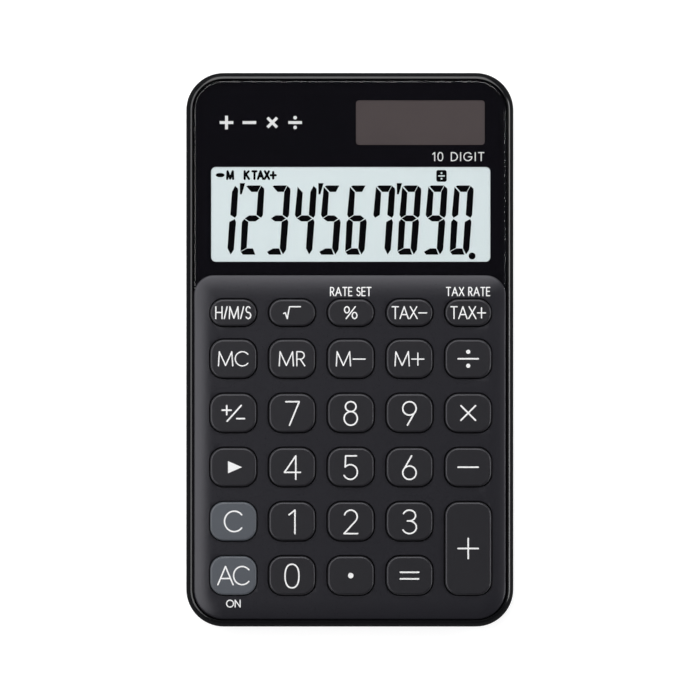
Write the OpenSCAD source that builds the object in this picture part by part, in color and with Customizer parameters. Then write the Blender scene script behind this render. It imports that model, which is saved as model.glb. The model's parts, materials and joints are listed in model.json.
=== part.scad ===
// Pocket calculator with a light cell, a segment display and rubber-dome keys.
// Millimetres. The calculator lies face up: +X to the right of the keys, +Y towards the
// display, +Z out of the face. The origin is the middle of the back, on the flat face
// that it rests on.

/* [Casing] */
// Overall width, along X
case_w = 70; // [69:0.5:72]
// Overall length, along Y
case_l = 118.5; // [118:0.5:120]
// Radius of the outer corners, seen from the front
case_corner_r = 8; // [7:0.5:9]
// Width of the rim that shows round the front plate
rim_w = 1.3; // [1.1:0.1:1.5]
// Height of the rim
rim_top = 6.6; // [6.5:0.1:6.8]
// Radius of the rim's crowned top, which falls outwards from its inner edge
rim_crown_r = 2; // [1.6:0.1:3]
// Thickness of the back wall
floor_t = 1.2; // [1.1:0.1:1.3]
// Radius between the back and the sides
back_edge_r = 1.8; // [1:0.2:2.2]

/* [Front plate] */
// Gap between the rim and the front plate
plate_gap = 0.2; // [0.1:0.05:0.3]
// Height of the flat middle of the keypad plate
plate_top = 7.1; // [7:0.1:7.3]
// Height of the keypad plate at its edges
plate_edge_top = 6.4; // [6.4:0.1:6.6]
// Width of the rounded slope along the plate's edges
plate_slope_w = 4.2; // [3:0.2:4.4]
// Upper end of the keypad plate, where the display panel begins
keypad_top_y = 16.1; // [15.8:0.1:16.4]
// Corner radius at the upper end of the keypad plate
keypad_corner_r = 4.4; // [4.3:0.1:5]

/* [Keys] */
// Height of the key tops
key_top = 8; // [7.8:0.1:8.4]
// How far a key goes down
key_travel = 1; // [0.6:0.1:1]
// Width of every key
key_w = 9.9; // [9:0.1:10.1]
// Height of a standard key, along Y
key_h = 8.25; // [7.5:0.05:8.5]
// Corner radius of a standard key
key_r = 2.9; // [1.5:0.1:3]
// Height of a key in the function row, along Y
function_key_h = 5.73; // [5:0.01:6]
// Corner radius of a key in the function row
function_key_r = 2.8; // [1.5:0.1:2.85]
// Distance between columns of keys
column_pitch = 12.55; // [12.4:0.05:12.6]
// Distance between rows of standard keys
row_pitch = 11.58; // [11.4:0.02:11.6]
// Centre of the middle column of keys, along X
keypad_x = 0.2; // [0:0.05:0.3]
// Centre of the lowest row of keys
bottom_row_y = -48.25; // [-48.4:0.01:-48]
// Centre of the function row
function_row_y = 7.93; // [7.8:0.01:8.1]
// Gap between a key and its hole
key_gap = 0.17; // [0.12:0.01:0.25]
// Radius of the rounded edge of a key top
key_edge_r = 0.45; // [0.2:0.05:0.6]

/* [Display] */
// Width of the display window
lcd_window_w = 59.8; // [56:0.1:60]
// Height of the display window, along Y
lcd_window_h = 20.3; // [18:0.1:20.5]
// Centre of the display window, along X
lcd_window_x = 0.2; // [0:0.1:0.4]
// Centre of the display window, along Y
lcd_window_y = 29; // [28.8:0.1:29.2]
// Width of the light cell's window
solar_window_w = 27.6; // [24:0.1:27.8]
// Height of the light cell's window, along Y
solar_window_h = 9.56; // [8:0.01:9.7]
// Centre of the light cell's window, along X
solar_window_x = 15.1; // [14.8:0.1:15.2]
// Centre of the light cell's window, along Y
solar_window_y = 48.65; // [48.4:0.01:48.8]
// Thickness of the clear panel over the display
lens_t = 1; // [0.8:0.1:1]

/* [Power] */
// Diameter of the button cell
cell_d = 11.6; // [11.4:0.1:11.6]
// Height of the button cell
cell_h = 3.05; // [2.8:0.05:3.05]

/* [Hidden] */
$fn = 64;
fine = 512; // segments of the long shallow arcs
cut = 1; // how far a cutting shape runs past a surface
over = 0.3; // how far a crowned top runs past the outline that it crowns
lap = 0.01; // shared width of two shapes that become one

// Heights of the layers, from the back up
board_z = 2.1;
board_t = 0.8;
board_top = board_z + board_t;
web_t = 0.5;
web_top = board_top + web_t;
flange_room = 0.2; // left under a flange when its key is down
flange_z = web_top + flange_room + key_travel;
flange_t = 0.5;
dome_top = flange_z - 0.1;
plate_under = 5.2;
shelf_t = 0.5;
mask_t = 0.1;
lens_z = plate_under + mask_t;
lens_top = lens_z + lens_t;
lip_z = lens_top + 0.05;

// Outlines
wall_in_w = case_w - 2 * rim_w;
wall_in_l = case_l - 2 * rim_w;
plate_w = wall_in_w - 2 * plate_gap;
plate_l = wall_in_l - 2 * plate_gap;
plate_corner_r = case_corner_r - rim_w - plate_gap;
skirt_t = 1;
skirt_z = 3.3;
lip_d = 3.6;
lens_gap = 0.1;
plate_step_y = keypad_top_y - lip_d;
lens_low_y = plate_step_y + lens_gap;
step_wall_t = 0.9;

// Keys: name, column from the middle, row above the lowest, kind
KEYS = [
    ["hours", -2, 5, "function"], ["root", -1, 5, "function"],
    ["percent", 0, 5, "function"], ["tax_minus", 1, 5, "function"],
    ["tax_plus", 2, 5, "function"],
    ["memory_clear", -2, 4, "standard"], ["memory_recall", -1, 4, "standard"],
    ["memory_minus", 0, 4, "standard"], ["memory_plus", 1, 4, "standard"],
    ["divide", 2, 4, "standard"],
    ["sign", -2, 3, "standard"], ["7", -1, 3, "standard"], ["8", 0, 3, "standard"],
    ["9", 1, 3, "standard"], ["multiply", 2, 3, "standard"],
    ["shift", -2, 2, "standard"], ["4", -1, 2, "standard"], ["5", 0, 2, "standard"],
    ["6", 1, 2, "standard"], ["subtract", 2, 2, "standard"],
    ["clear", -2, 1, "clear"], ["1", -1, 1, "standard"], ["2", 0, 1, "standard"],
    ["3", 1, 1, "standard"], ["add", 2, 0.5, "tall"],
    ["all_clear", -2, 0, "clear"], ["0", -1, 0, "standard"],
    ["point", 0, 0, "standard"], ["equals", 1, 0, "standard"]
];
function key_name(k) = str("key_", k[0]);
function key_x(k) = keypad_x + k[1] * column_pitch;
function key_y(k) = k[3] == "function" ? function_row_y : bottom_row_y + k[2] * row_pitch;
function key_len(k) =
    k[3] == "function" ? function_key_h : k[3] == "tall" ? key_h + row_pitch : key_h;
function key_corner(k) = k[3] == "function" ? function_key_r : key_r;
function key_colour(k) = k[3] == "clear" ? "#555961" : "#2d2c30";
flange_w = 0.6;
key_edge_drop = 0.9 * key_edge_r;
key_wall = 0.9;
key_roof = 1;
plunger_r = 1.8;

// Rubber domes
dome_r = 2.8;
dome_tip_r = 2;
dome_wall = 0.5;
dome_bore_r = 2.2;
pill_r = 1.4;
pill_drop = 0.4;

// Screws: the casing's five, the board's four and the battery cover's one
row_gap_y = bottom_row_y + 3.5 * row_pitch;
CASE_SCREWS = [
    [0, 55.7], [keypad_x - 1.5 * column_pitch, row_gap_y],
    [keypad_x + 1.5 * column_pitch, row_gap_y],
    [-2 * column_pitch, -54.9], [2 * column_pitch, -54.9]
];
BOARD_SCREWS = [
    for (row = [0.5, 2.5], side = [-0.5, 0.5])
        [keypad_x + side * column_pitch, bottom_row_y + row * row_pitch]
];
case_screw_r = 0.8;
case_head_r = 1.5;
case_head_pocket_r = 1.75;
case_head_z = 0.15;
case_head_seat = 0.9;
case_screw_end = 4.8;
pilot_end = 4.9;
rear_boss_r = 2;
front_boss_r = 1.7;
boss_clear_r = 2.2;
board_screw_r = 0.55;
board_head_r = 1.3;
board_head_t = 0.6;
board_screw_end = 4.3;
board_post_r = 1.5;
fit_gap = 0.02; // radial room of a screw's thread in the solid model

// Board
board_w = 63.2;
board_low_y = -55.6;
board_high_y = 41.2;
board_tab_low_x = -12.6;
board_tab_high_y = 42.9;
board_corner_r = 3;
chip_pos = [4, 27];
chip_r = 5;
chip_h = 0.75;
PARTS_AT = [
    [-9, 34], [-5, 34], [-9, 31.5], [17, 33], [17, 30.5], [-12, 22], [-12, 19.5], [19, 20]
];
part_size = [2, 1.2, 0.7];
POSTS_AT = [
    [-29, -31], [29, -31], [-12.55, -31], [12.55, -31], [-29, 20], [29, 20], [-18, 38], [25, 38]
];
post_r = 1.2;

// Display stack, from the mask down
behind_gap = 0.05; // between the mask and what stands behind its windows
reflector_t = 0.15;
glass_t = 0.7;
polariser_t = 0.15;
polariser_z = plate_under - behind_gap - polariser_t;
front_glass_z = polariser_z - glass_t;
rear_glass_z = front_glass_z - glass_t;
reflector_z = rear_glass_z - reflector_t;
glass_over = 1; // how far the glass runs past the window
ledge_d = 2.4; // the front glass's contact ledge
holder_wall = 0.8;
holder_gap = 0.1; // between the glass and the holder
holder_top = 4.65;
connector_d = 1.6;
opening_gap = 0.2; // round the glass, in the front case's openings

// Light cell
solar_t = 1.1;
solar_z = plate_under - behind_gap - solar_t;
solar_over = 0.4;
lead_r = 0.3;
lead_y = [42, 45.5];

// Battery bay
cell_x = -20;
cell_y = 48.9;
cell_z = 0.95;
bay_r = 6.1;
bay_wall = 0.9;
bay_top = 3.9;
pad_top = 2;
cover_w = 21.6;
cover_l = 14.2;
cover_x = -17.5;
cover_t = 0.8;
cover_z = 0.1;
cover_gap = 0.1;
cover_corner_r = 1.5;
tab_w = 4;
tab_t = 0.35;
tab_reach = 1;
cover_screw_x = -9.3;
cover_screw_r = 0.6;
cover_head_r = 1.3;
cover_head_t = 0.4;
cover_screw_end = 2.5;
leaf_t = 0.2;
leaf_w = 2;

// Back
label_w = 46;
label_l = 24;
label_y = 21;
label_depth = 0.2;

// ---- Shared shapes ----

// A rectangle with round corners, centred on the origin
module round_rect(w, l, r) {
    square([w - 2 * r, l], center = true);
    square([w, l - 2 * r], center = true);
    for (sx = [-1, 1], sy = [-1, 1])
        translate([sx * (w / 2 - r), sy * (l / 2 - r)]) circle(r);
}

// A plate with round corners from height z, t thick
module round_plate(w, l, r, z, t) {
    translate([0, 0, z]) linear_extrude(t) round_rect(w, l, r);
}

// A box from its lowest corner to its highest
module box_between(low, high) {
    translate(low) cube(high - low);
}

// A round bar from height z0 to z1
module bar(r, z0, z1) {
    translate([0, 0, z0]) cylinder(r = r, h = z1 - z0);
}

// The area under a flat top whose two sides slope down along arcs:
// half is the half width, slope the width of each arc, drop how far it falls
module crowned_section(half, slope, top, drop, low) {
    arc_r = (slope * slope + drop * drop) / (2 * drop);
    flat = half - slope;
    arc_low = max(low, top - arc_r);
    reach = slope + over;
    translate([-flat, low]) square([2 * flat, top - low]);
    for (side = [0, 1]) mirror([side, 0]) translate([flat - lap, 0]) {
        intersection() {
            translate([lap, top - arc_r]) circle(arc_r, $fn = fine);
            translate([0, arc_low]) square([reach, top - arc_low + cut]);
        }
        if (arc_low > low) translate([0, low]) square([reach, arc_low - low]);
    }
}

// Keeps what lies under a crowned top, w wide and l long about the origin
module crowned(w, l, slope, top, drop, low) {
    intersection() {
        children();
        translate([0, l / 2 + cut, 0]) rotate([90, 0, 0])
            linear_extrude(l + 2 * cut) crowned_section(w / 2, slope, top, drop, low);
        rotate([90, 0, 90]) translate([0, 0, -w / 2 - cut])
            linear_extrude(w + 2 * cut) crowned_section(l / 2, slope, top, drop, low);
    }
}

// A cross-headed screw standing on its head at the origin, thread upwards
module screw(head_r, head_z, head_t, thread_r, thread_end) {
    slot_w = head_r * 0.35;
    difference() {
        union() {
            bar(head_r, head_z, head_z + head_t);
            bar(thread_r, head_z + head_t, thread_end);
        }
        for (turn = [0, 90]) rotate([0, 0, turn])
            translate([0, 0, head_z]) cube([head_r * 1.3, slot_w, head_t], center = true);
    }
}

// ---- Casing ----

// Section of the tray's wall, x outward from the corner's centre, y up
module wall_section() {
    difference() {
        union() {
            square([case_corner_r - back_edge_r, floor_t]);
            translate([0, back_edge_r])
                square([case_corner_r, rim_top - rim_crown_r - back_edge_r + cut]);
            intersection() {
                translate([case_corner_r - back_edge_r, back_edge_r]) circle(back_edge_r);
                square([case_corner_r, back_edge_r]);
            }
            intersection() {
                translate([case_corner_r - rim_w, rim_top - rim_crown_r])
                    circle(rim_crown_r, $fn = fine);
                square([case_corner_r, rim_top]);
            }
        }
        translate([-cut, floor_t]) square([case_corner_r - rim_w + cut, rim_top]);
    }
}

// The tray: wall section turned at the corners and run along the sides
module tray() {
    side_x = case_w / 2 - case_corner_r;
    side_y = case_l / 2 - case_corner_r;
    CORNERS = [
        [side_x, side_y, 0], [-side_x, side_y, 90],
        [-side_x, -side_y, 180], [side_x, -side_y, 270]
    ];
    for (c = CORNERS)
        translate([c[0], c[1], 0]) rotate([0, 0, c[2]])
            rotate_extrude(angle = 90) wall_section();
    for (turn = [0, 180]) rotate([0, 0, turn]) {
        translate([side_x, side_y, 0]) rotate([90, 0, 0])
            linear_extrude(2 * side_y) wall_section();
        translate([-side_x, side_y, 0]) rotate([90, 0, 90])
            linear_extrude(2 * side_x) wall_section();
    }
    box_between([-side_x, -side_y, 0], [side_x, side_y, floor_t]);
}

module battery_bay() {
    box_between([cell_x - 10.5, 41, floor_t], [cover_screw_x + 3.5, wall_in_l / 2, pad_top]);
    translate([cell_x, cell_y]) bar(bay_r + bay_wall, floor_t, bay_top);
    translate([cover_screw_x, cell_y]) bar(1.7, floor_t, 2.7);
}

module battery_bay_room() {
    translate([cover_x, cell_y])
        round_plate(
            cover_w + 2 * cover_gap, cover_l + 2 * cover_gap, cover_corner_r, -cut, cut + 1
        );
    tab_x = cover_x - cover_w / 2 - tab_reach - cover_gap;
    box_between(
        [tab_x, cell_y - tab_w / 2 - cover_gap, cover_z + cover_t - tab_t - cover_gap],
        [cover_x, cell_y + tab_w / 2 + cover_gap, 1]
    );
    translate([cell_x, cell_y]) bar(bay_r, 0, bay_top + cut);
    box_between([cell_x, cell_y - 2, pad_top], [cell_x + 9, cell_y + 2, bay_top + cut]);
    translate([cover_screw_x, cell_y]) bar(cover_screw_r + fit_gap, 0, 2.6);
}

module rear_case() {
    color("#0c0c0f") difference() {
        union() {
            tray();
            for (p = CASE_SCREWS) translate(p) bar(rear_boss_r, floor_t / 2, skirt_z);
            for (p = POSTS_AT) translate(p) bar(post_r, floor_t / 2, board_z);
            battery_bay();
        }
        for (p = CASE_SCREWS) translate(p) {
            bar(case_head_pocket_r, -cut, case_head_seat);
            bar(case_screw_r + fit_gap, 0, skirt_z + cut);
        }
        battery_bay_room();
        translate([0, label_y])
            round_plate(label_w, label_l, cover_corner_r, -cut, cut + label_depth);
    }
}

// ---- Front case ----

module plate_outline() {
    round_rect(plate_w, plate_l, plate_corner_r);
}

// The part of the plate's outline between two heights along Y
module plate_band(y0, y1) {
    intersection() {
        plate_outline();
        translate([-case_w, y0]) square([2 * case_w, y1 - y0]);
    }
}

module keypad_lip_outline() {
    l = keypad_top_y + plate_l / 2;
    intersection() {
        plate_outline();
        translate([0, keypad_top_y - l]) round_rect(plate_w, 2 * l, keypad_corner_r);
    }
}

// Keypad plate: crowned towards its four edges, with a lip over the display panel
module keypad_plate() {
    l = keypad_top_y + plate_l / 2;
    mid = keypad_top_y - l / 2;
    translate([0, mid, 0])
        crowned(plate_w, l, plate_slope_w, plate_top, plate_top - plate_edge_top, plate_under - cut)
            translate([0, -mid, 0]) {
                translate([0, 0, plate_under]) linear_extrude(plate_top - plate_under)
                    plate_band(-plate_l / 2 - cut, plate_step_y);
                translate([0, 0, lip_z]) linear_extrude(plate_top - lip_z)
                    keypad_lip_outline();
            }
}

module key_outline(k, grow) {
    round_rect(key_w + 2 * grow, key_len(k) + 2 * grow, key_corner(k) + grow);
}

module front_case() {
    color("#2e2e32") difference() {
        union() {
            keypad_plate();
            translate([0, 0, plate_under - shelf_t]) linear_extrude(shelf_t)
                plate_band(plate_step_y - step_wall_t, plate_l);
            translate([0, 0, skirt_z]) linear_extrude(plate_under - skirt_z) difference() {
                plate_outline();
                round_rect(plate_w - 2 * skirt_t, plate_l - 2 * skirt_t, plate_corner_r - skirt_t);
            }
            for (p = CASE_SCREWS) translate(p) bar(front_boss_r, skirt_z, plate_under);
            for (p = BOARD_SCREWS) translate(p) bar(board_post_r, board_top, plate_under);
        }
        for (k = KEYS) translate([key_x(k), key_y(k), plate_under - cut])
            linear_extrude(plate_top - plate_under + 2 * cut) key_outline(k, key_gap);
        lcd_sheet(
            lcd_low_y - ledge_d - opening_gap, lcd_high_y, -opening_gap, plate_under - cut, 2 * cut
        );
        translate([solar_window_x, solar_window_y]) round_plate(
            solar_w + 2 * opening_gap, solar_l + 2 * opening_gap, 0.6, plate_under - cut, 2 * cut
        );
        for (p = CASE_SCREWS) translate(p)
            bar(case_screw_r + fit_gap, skirt_z - cut, pilot_end);
        for (p = BOARD_SCREWS) translate(p)
            bar(board_screw_r + fit_gap, board_top - cut, board_screw_end + 0.1);
    }
}

// ---- Display panel ----

lcd_low_y = lcd_window_y - lcd_window_h / 2 - glass_over;
lcd_high_y = lcd_window_y + lcd_window_h / 2 + glass_over;

module display_lens() {
    color("#101015", 0.6) translate([0, 0, lens_z]) linear_extrude(lens_t)
        plate_band(lens_low_y, plate_l);
}

module lens_mask() {
    color("#060608") translate([0, 0, plate_under]) linear_extrude(mask_t) difference() {
        plate_band(lens_low_y, plate_l);
        translate([lcd_window_x, lcd_window_y]) round_rect(lcd_window_w, lcd_window_h, 1);
        translate([solar_window_x, solar_window_y]) round_rect(solar_window_w, solar_window_h, 0.4);
    }
}

// A sheet of the display stack, from low to high along Y
module lcd_sheet(low_y, high_y, inset, z, t) {
    half = lcd_window_w / 2 + glass_over - inset;
    box_between([lcd_window_x - half, low_y, z], [lcd_window_x + half, high_y - inset, z + t]);
}

module lcd_polariser() {
    color("#c9d2d4") lcd_sheet(lcd_low_y + 0.3, lcd_high_y, 0.3, polariser_z, polariser_t);
}

module lcd_front_glass() {
    color("#d9e3e4", 0.6) lcd_sheet(lcd_low_y - ledge_d, lcd_high_y, 0, front_glass_z, glass_t);
}

module lcd_rear_glass() {
    color("#d9e3e4", 0.6) lcd_sheet(lcd_low_y, lcd_high_y, 0, rear_glass_z, glass_t);
}

module lcd_reflector() {
    color("#d9e3e4") lcd_sheet(lcd_low_y + 0.3, lcd_high_y, 0.3, reflector_z, reflector_t);
}

module lcd_connector() {
    reach = lcd_window_w / 2 - 2;
    low_y = lcd_low_y - ledge_d + 0.3;
    color("#e58fa0") box_between(
        [lcd_window_x - reach, low_y, board_top],
        [lcd_window_x + reach, low_y + connector_d, front_glass_z]
    );
}

// Frame round the glass with a floor under the reflector, open over the connector
module lcd_holder() {
    in_w = lcd_window_w + 2 * (glass_over + holder_gap);
    in_low = lcd_low_y - ledge_d - holder_gap;
    in_high = lcd_high_y + holder_gap;
    in_l = in_high - in_low;
    in_mid = (in_high + in_low) / 2;
    color("#e8e8e4") {
        translate([lcd_window_x, in_mid, board_top])
            linear_extrude(holder_top - board_top) difference() {
                round_rect(in_w + 2 * holder_wall, in_l + 2 * holder_wall, 1);
                square([in_w, in_l], center = true);
            }
        lcd_sheet(
            lcd_low_y, lcd_high_y, -holder_gap - lap, board_top, reflector_z - board_top
        );
    }
}

// ---- Board ----

module main_board() {
    mid = (board_low_y + board_high_y) / 2;
    tab_w = board_w / 2 - board_tab_low_x;
    color("#2f6b43") translate([0, 0, board_z]) linear_extrude(board_t) difference() {
        union() {
            translate([0, mid]) round_rect(board_w, board_high_y - board_low_y, board_corner_r);
            translate([board_tab_low_x, 30]) square([tab_w, board_tab_high_y - 30]);
        }
        for (p = CASE_SCREWS) translate(p) circle(boss_clear_r);
        for (p = BOARD_SCREWS) translate(p) circle(board_screw_r + 0.1);
    }
}

module chip_blob() {
    arc_r = (chip_r * chip_r + chip_h * chip_h) / (2 * chip_h);
    color("#111111") translate([chip_pos[0], chip_pos[1], board_z]) mirror([0, 0, 1])
        rotate_extrude() intersection() {
            translate([0, chip_h - arc_r]) circle(arc_r, $fn = fine);
            square([chip_r + cut, chip_h]);
        }
}

module board_components() {
    color("#b99b6b") for (p = PARTS_AT)
        translate([p[0], p[1], board_z - part_size[2] / 2]) cube(part_size, center = true);
}

// ---- Rubber keypad ----

module rubber_mat() {
    w = 62.8;
    low_y = -52.6;
    high_y = 12.4;
    color("#c8c8c4") translate([0, 0, board_top]) linear_extrude(web_t) difference() {
        translate([0, (low_y + high_y) / 2]) round_rect(w, high_y - low_y, 2);
        for (k = KEYS) translate([key_x(k), key_y(k)]) circle(dome_bore_r);
        for (p = CASE_SCREWS) translate(p) circle(boss_clear_r);
        for (p = BOARD_SCREWS) translate(p) circle(board_post_r + 0.2);
    }
}

// Half section of a dome with its contact pill, turned about the dome's axis
module dome_section() {
    h = dome_top - web_top;
    roof = h - dome_wall;
    difference() {
        polygon([[0, 0], [dome_r, 0], [dome_tip_r, h], [0, h]]);
        polygon([
            [-cut, -cut], [dome_bore_r, -cut], [dome_bore_r, 0], [pill_r + 0.2, roof],
            [pill_r, roof], [pill_r, roof - pill_drop], [-cut, roof - pill_drop]
        ]);
    }
}

module rubber_domes() {
    color("#d6d6d2") for (k = KEYS)
        translate([key_x(k), key_y(k), web_top]) rotate_extrude() dome_section();
}

// ---- Power ----

solar_w = solar_window_w + 2 * solar_over;
solar_l = solar_window_h + 2 * solar_over;

module solar_cell() {
    color("#3d2f33")
        translate([solar_window_x - solar_w / 2, solar_window_y - solar_l / 2, solar_z])
            cube([solar_w, solar_l, solar_t]);
}

module solar_leads() {
    z = board_top + lead_r;
    reach = solar_window_w / 2 - 2.5;
    color("#a33a2c") for (x = [solar_window_x - reach, solar_window_x + reach]) {
        translate([x, lead_y[1], z]) rotate([90, 0, 0])
            cylinder(r = lead_r, h = lead_y[1] - lead_y[0]);
        translate([x, lead_y[0]]) bar(0.6, board_top, z + 0.1);
        translate([x, lead_y[1]]) bar(0.6, z - 0.1, solar_z);
    }
}

module battery_cell() {
    can_h = cell_h - 0.4;
    color("#c9ccd0") translate([cell_x, cell_y]) {
        bar(cell_d / 2, cell_z, cell_z + can_h);
        bar(cell_d / 2 - 1.2, cell_z + can_h, cell_z + cell_h);
    }
}

// Spring strip against the side of the cell, with a foot on the board
module battery_contact_positive() {
    x = cell_x + cell_d / 2;
    run_x = -8.4;
    color("#d8c46a") {
        box_between([x, cell_y - 1.3, 2.2], [x + leaf_t, cell_y + 1.3, 3.5]);
        box_between([x, cell_y - 1.3, 2.9], [run_x + leaf_t, cell_y - 1.3 + leaf_t, 3.5]);
        box_between([run_x, 41.8, 2.9], [run_x + leaf_t, cell_y - 1.3 + leaf_t, 3.5]);
        box_between([run_x - 1.4, 41.4, board_top], [run_x + leaf_t, 42.6, board_top + leaf_t]);
    }
}

// Leaf over the cap of the cell, with a leg down to the board
module battery_contact_negative() {
    z = cell_z + cell_h;
    leg_x = -12.4;
    color("#d8c46a") {
        box_between(
            [cell_x - 3, cell_y - leaf_w / 2, z], [leg_x + 1.4, cell_y + leaf_w / 2, z + leaf_t]
        );
        box_between([leg_x, 41.4, z], [leg_x + 1.4, cell_y + leaf_w / 2, z + leaf_t]);
        box_between([leg_x, 41.4, board_top], [leg_x + 1.4, 41.4 + leaf_t, z + leaf_t]);
    }
}

module battery_cover() {
    color("#101013") difference() {
        union() {
            translate([cover_x, cell_y])
                round_plate(cover_w, cover_l, cover_corner_r, cover_z, cover_t);
            box_between(
                [cover_x - cover_w / 2 - tab_reach, cell_y - tab_w / 2, cover_z + cover_t - tab_t],
                [cover_x, cell_y + tab_w / 2, cover_z + cover_t]
            );
        }
        translate([cover_screw_x, cell_y]) {
            bar(cover_head_r + 0.15, 0, cover_z + cover_head_t + 0.05);
            bar(cover_screw_r + 0.1, 0, 2);
        }
    }
}

module battery_cover_screw() {
    color("#b9bcc0") translate([cover_screw_x, cell_y])
        screw(cover_head_r, cover_z + 0.05, cover_head_t, cover_screw_r, cover_screw_end);
}

// ---- Fasteners ----

module case_screws() {
    color("#b9bcc0") for (p = CASE_SCREWS) translate(p)
        screw(case_head_r, case_head_z, case_head_seat - case_head_z, case_screw_r, case_screw_end);
}

module board_screws() {
    color("#b9bcc0") for (p = BOARD_SCREWS) translate(p)
        screw(board_head_r, board_z - board_head_t, board_head_t, board_screw_r, board_screw_end);
}

// ---- Keys ----

// Hollow cap with a flange under the plate and a plunger on its dome
module key_cap(k) {
    l = key_len(k);
    inner = key_top - key_roof;
    color(key_colour(k)) translate([key_x(k), key_y(k), 0]) difference() {
        union() {
            crowned(key_w, l, key_edge_r, key_top, key_edge_drop, flange_z - cut)
                translate([0, 0, flange_z]) linear_extrude(key_top - flange_z) key_outline(k, 0);
            translate([0, 0, flange_z]) linear_extrude(flange_t) key_outline(k, flange_w);
            bar(plunger_r, dome_top, inner);
        }
        difference() {
            translate([0, 0, flange_z - cut]) linear_extrude(inner - flange_z + cut)
                key_outline(k, -key_wall);
            bar(plunger_r, 0, key_top);
        }
    }
}

// ---- Nodes ----

rear_case();
front_case();
display_lens();
lens_mask();
lcd_polariser();
lcd_front_glass();
lcd_rear_glass();
lcd_reflector();
lcd_connector();
lcd_holder();
main_board();
chip_blob();
board_components();
rubber_mat();
rubber_domes();
solar_cell();
solar_leads();
battery_cell();
battery_contact_positive();
battery_contact_negative();
battery_cover();
battery_cover_screw();
case_screws();
board_screws();
for (k = KEYS)
    key_cap(k);
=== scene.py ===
"""Looks of a pocket calculator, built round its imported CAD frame."""

import json
import math

import bpy
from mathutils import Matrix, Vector
from mathutils.geometry import delaunay_2d_cdt

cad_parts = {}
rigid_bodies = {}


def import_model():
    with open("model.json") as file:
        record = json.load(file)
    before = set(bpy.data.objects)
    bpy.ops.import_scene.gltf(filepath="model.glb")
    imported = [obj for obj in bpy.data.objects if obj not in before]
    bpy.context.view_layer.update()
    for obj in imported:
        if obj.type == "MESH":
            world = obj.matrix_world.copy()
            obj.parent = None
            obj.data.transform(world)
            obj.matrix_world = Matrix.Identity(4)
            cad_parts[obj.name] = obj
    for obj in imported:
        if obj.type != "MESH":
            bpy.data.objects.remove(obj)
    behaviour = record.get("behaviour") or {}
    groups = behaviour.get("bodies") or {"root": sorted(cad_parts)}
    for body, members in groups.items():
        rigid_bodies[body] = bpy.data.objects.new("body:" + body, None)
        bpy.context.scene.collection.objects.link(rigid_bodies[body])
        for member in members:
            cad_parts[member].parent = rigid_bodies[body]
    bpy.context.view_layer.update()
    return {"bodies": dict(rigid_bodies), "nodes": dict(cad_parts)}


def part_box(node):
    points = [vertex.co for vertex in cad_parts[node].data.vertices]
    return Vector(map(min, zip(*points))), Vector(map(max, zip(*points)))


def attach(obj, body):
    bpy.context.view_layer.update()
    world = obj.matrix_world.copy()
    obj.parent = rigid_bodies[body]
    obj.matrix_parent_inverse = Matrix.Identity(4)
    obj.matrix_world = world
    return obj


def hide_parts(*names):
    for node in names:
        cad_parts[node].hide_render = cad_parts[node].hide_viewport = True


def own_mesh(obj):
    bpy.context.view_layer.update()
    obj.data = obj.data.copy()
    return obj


MM = 0.001  # shapes are written in millimetres, and meshes are in metres
SMOOTH_ANGLE = math.radians(32)  # a sharper edge stays crisp
CORNER_STEPS = 12

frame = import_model()


def box_mm(node):
    """Lowest and highest corner of a CAD node, in millimetres."""
    low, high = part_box(node)
    return low / MM, high / MM


# ---- Outlines ----


def spaced(low, high, count):
    """Evenly spaced values from low to high, both included."""
    return [low + (high - low) * i / (count - 1) for i in range(count)]


def arc(x, y, rx, ry, start, end, count=15):
    """Points along an ellipse's arc between two angles in degrees."""
    turns = [math.radians(a) for a in spaced(start, end, count)]
    return [(x + rx * math.cos(a), y + ry * math.sin(a)) for a in turns]


def round_rect(low, high, radii, grow=0.0, steps=CORNER_STEPS):
    """Outline of a box with round corners, anticlockwise from the corner at +x +y.
    radii has one radius, or one for each corner; grow moves the outline outwards."""
    if not hasattr(radii, "__len__"):
        radii = [radii] * 4
    x0, y0, x1, y1 = low[0] - grow, low[1] - grow, high[0] + grow, high[1] + grow
    points = []
    corners = [(x1, y1, -1, -1), (x0, y1, 1, -1), (x0, y0, 1, 1), (x1, y0, -1, 1)]
    for turn, (x, y, sx, sy) in enumerate(corners):
        r = max(radii[turn] + grow, 0.02)
        points += arc(x + sx * r, y + sy * r, r, r, 90 * turn, 90 * turn + 90, steps)
    return points


def circle(x, y, r, count=32):
    turns = [2 * math.pi * i / count for i in range(count)]
    return [(x + r * math.cos(a), y + r * math.sin(a)) for a in turns]


def rolled_edge(inset, drop, count):
    """(inset, drop) steps over a round edge, from its foot up to its crest."""
    turns = spaced(0, math.pi / 2, count)
    return [(inset * (1 - math.cos(a)), drop * (1 - math.sin(a))) for a in turns]


# ---- Meshes ----


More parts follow.
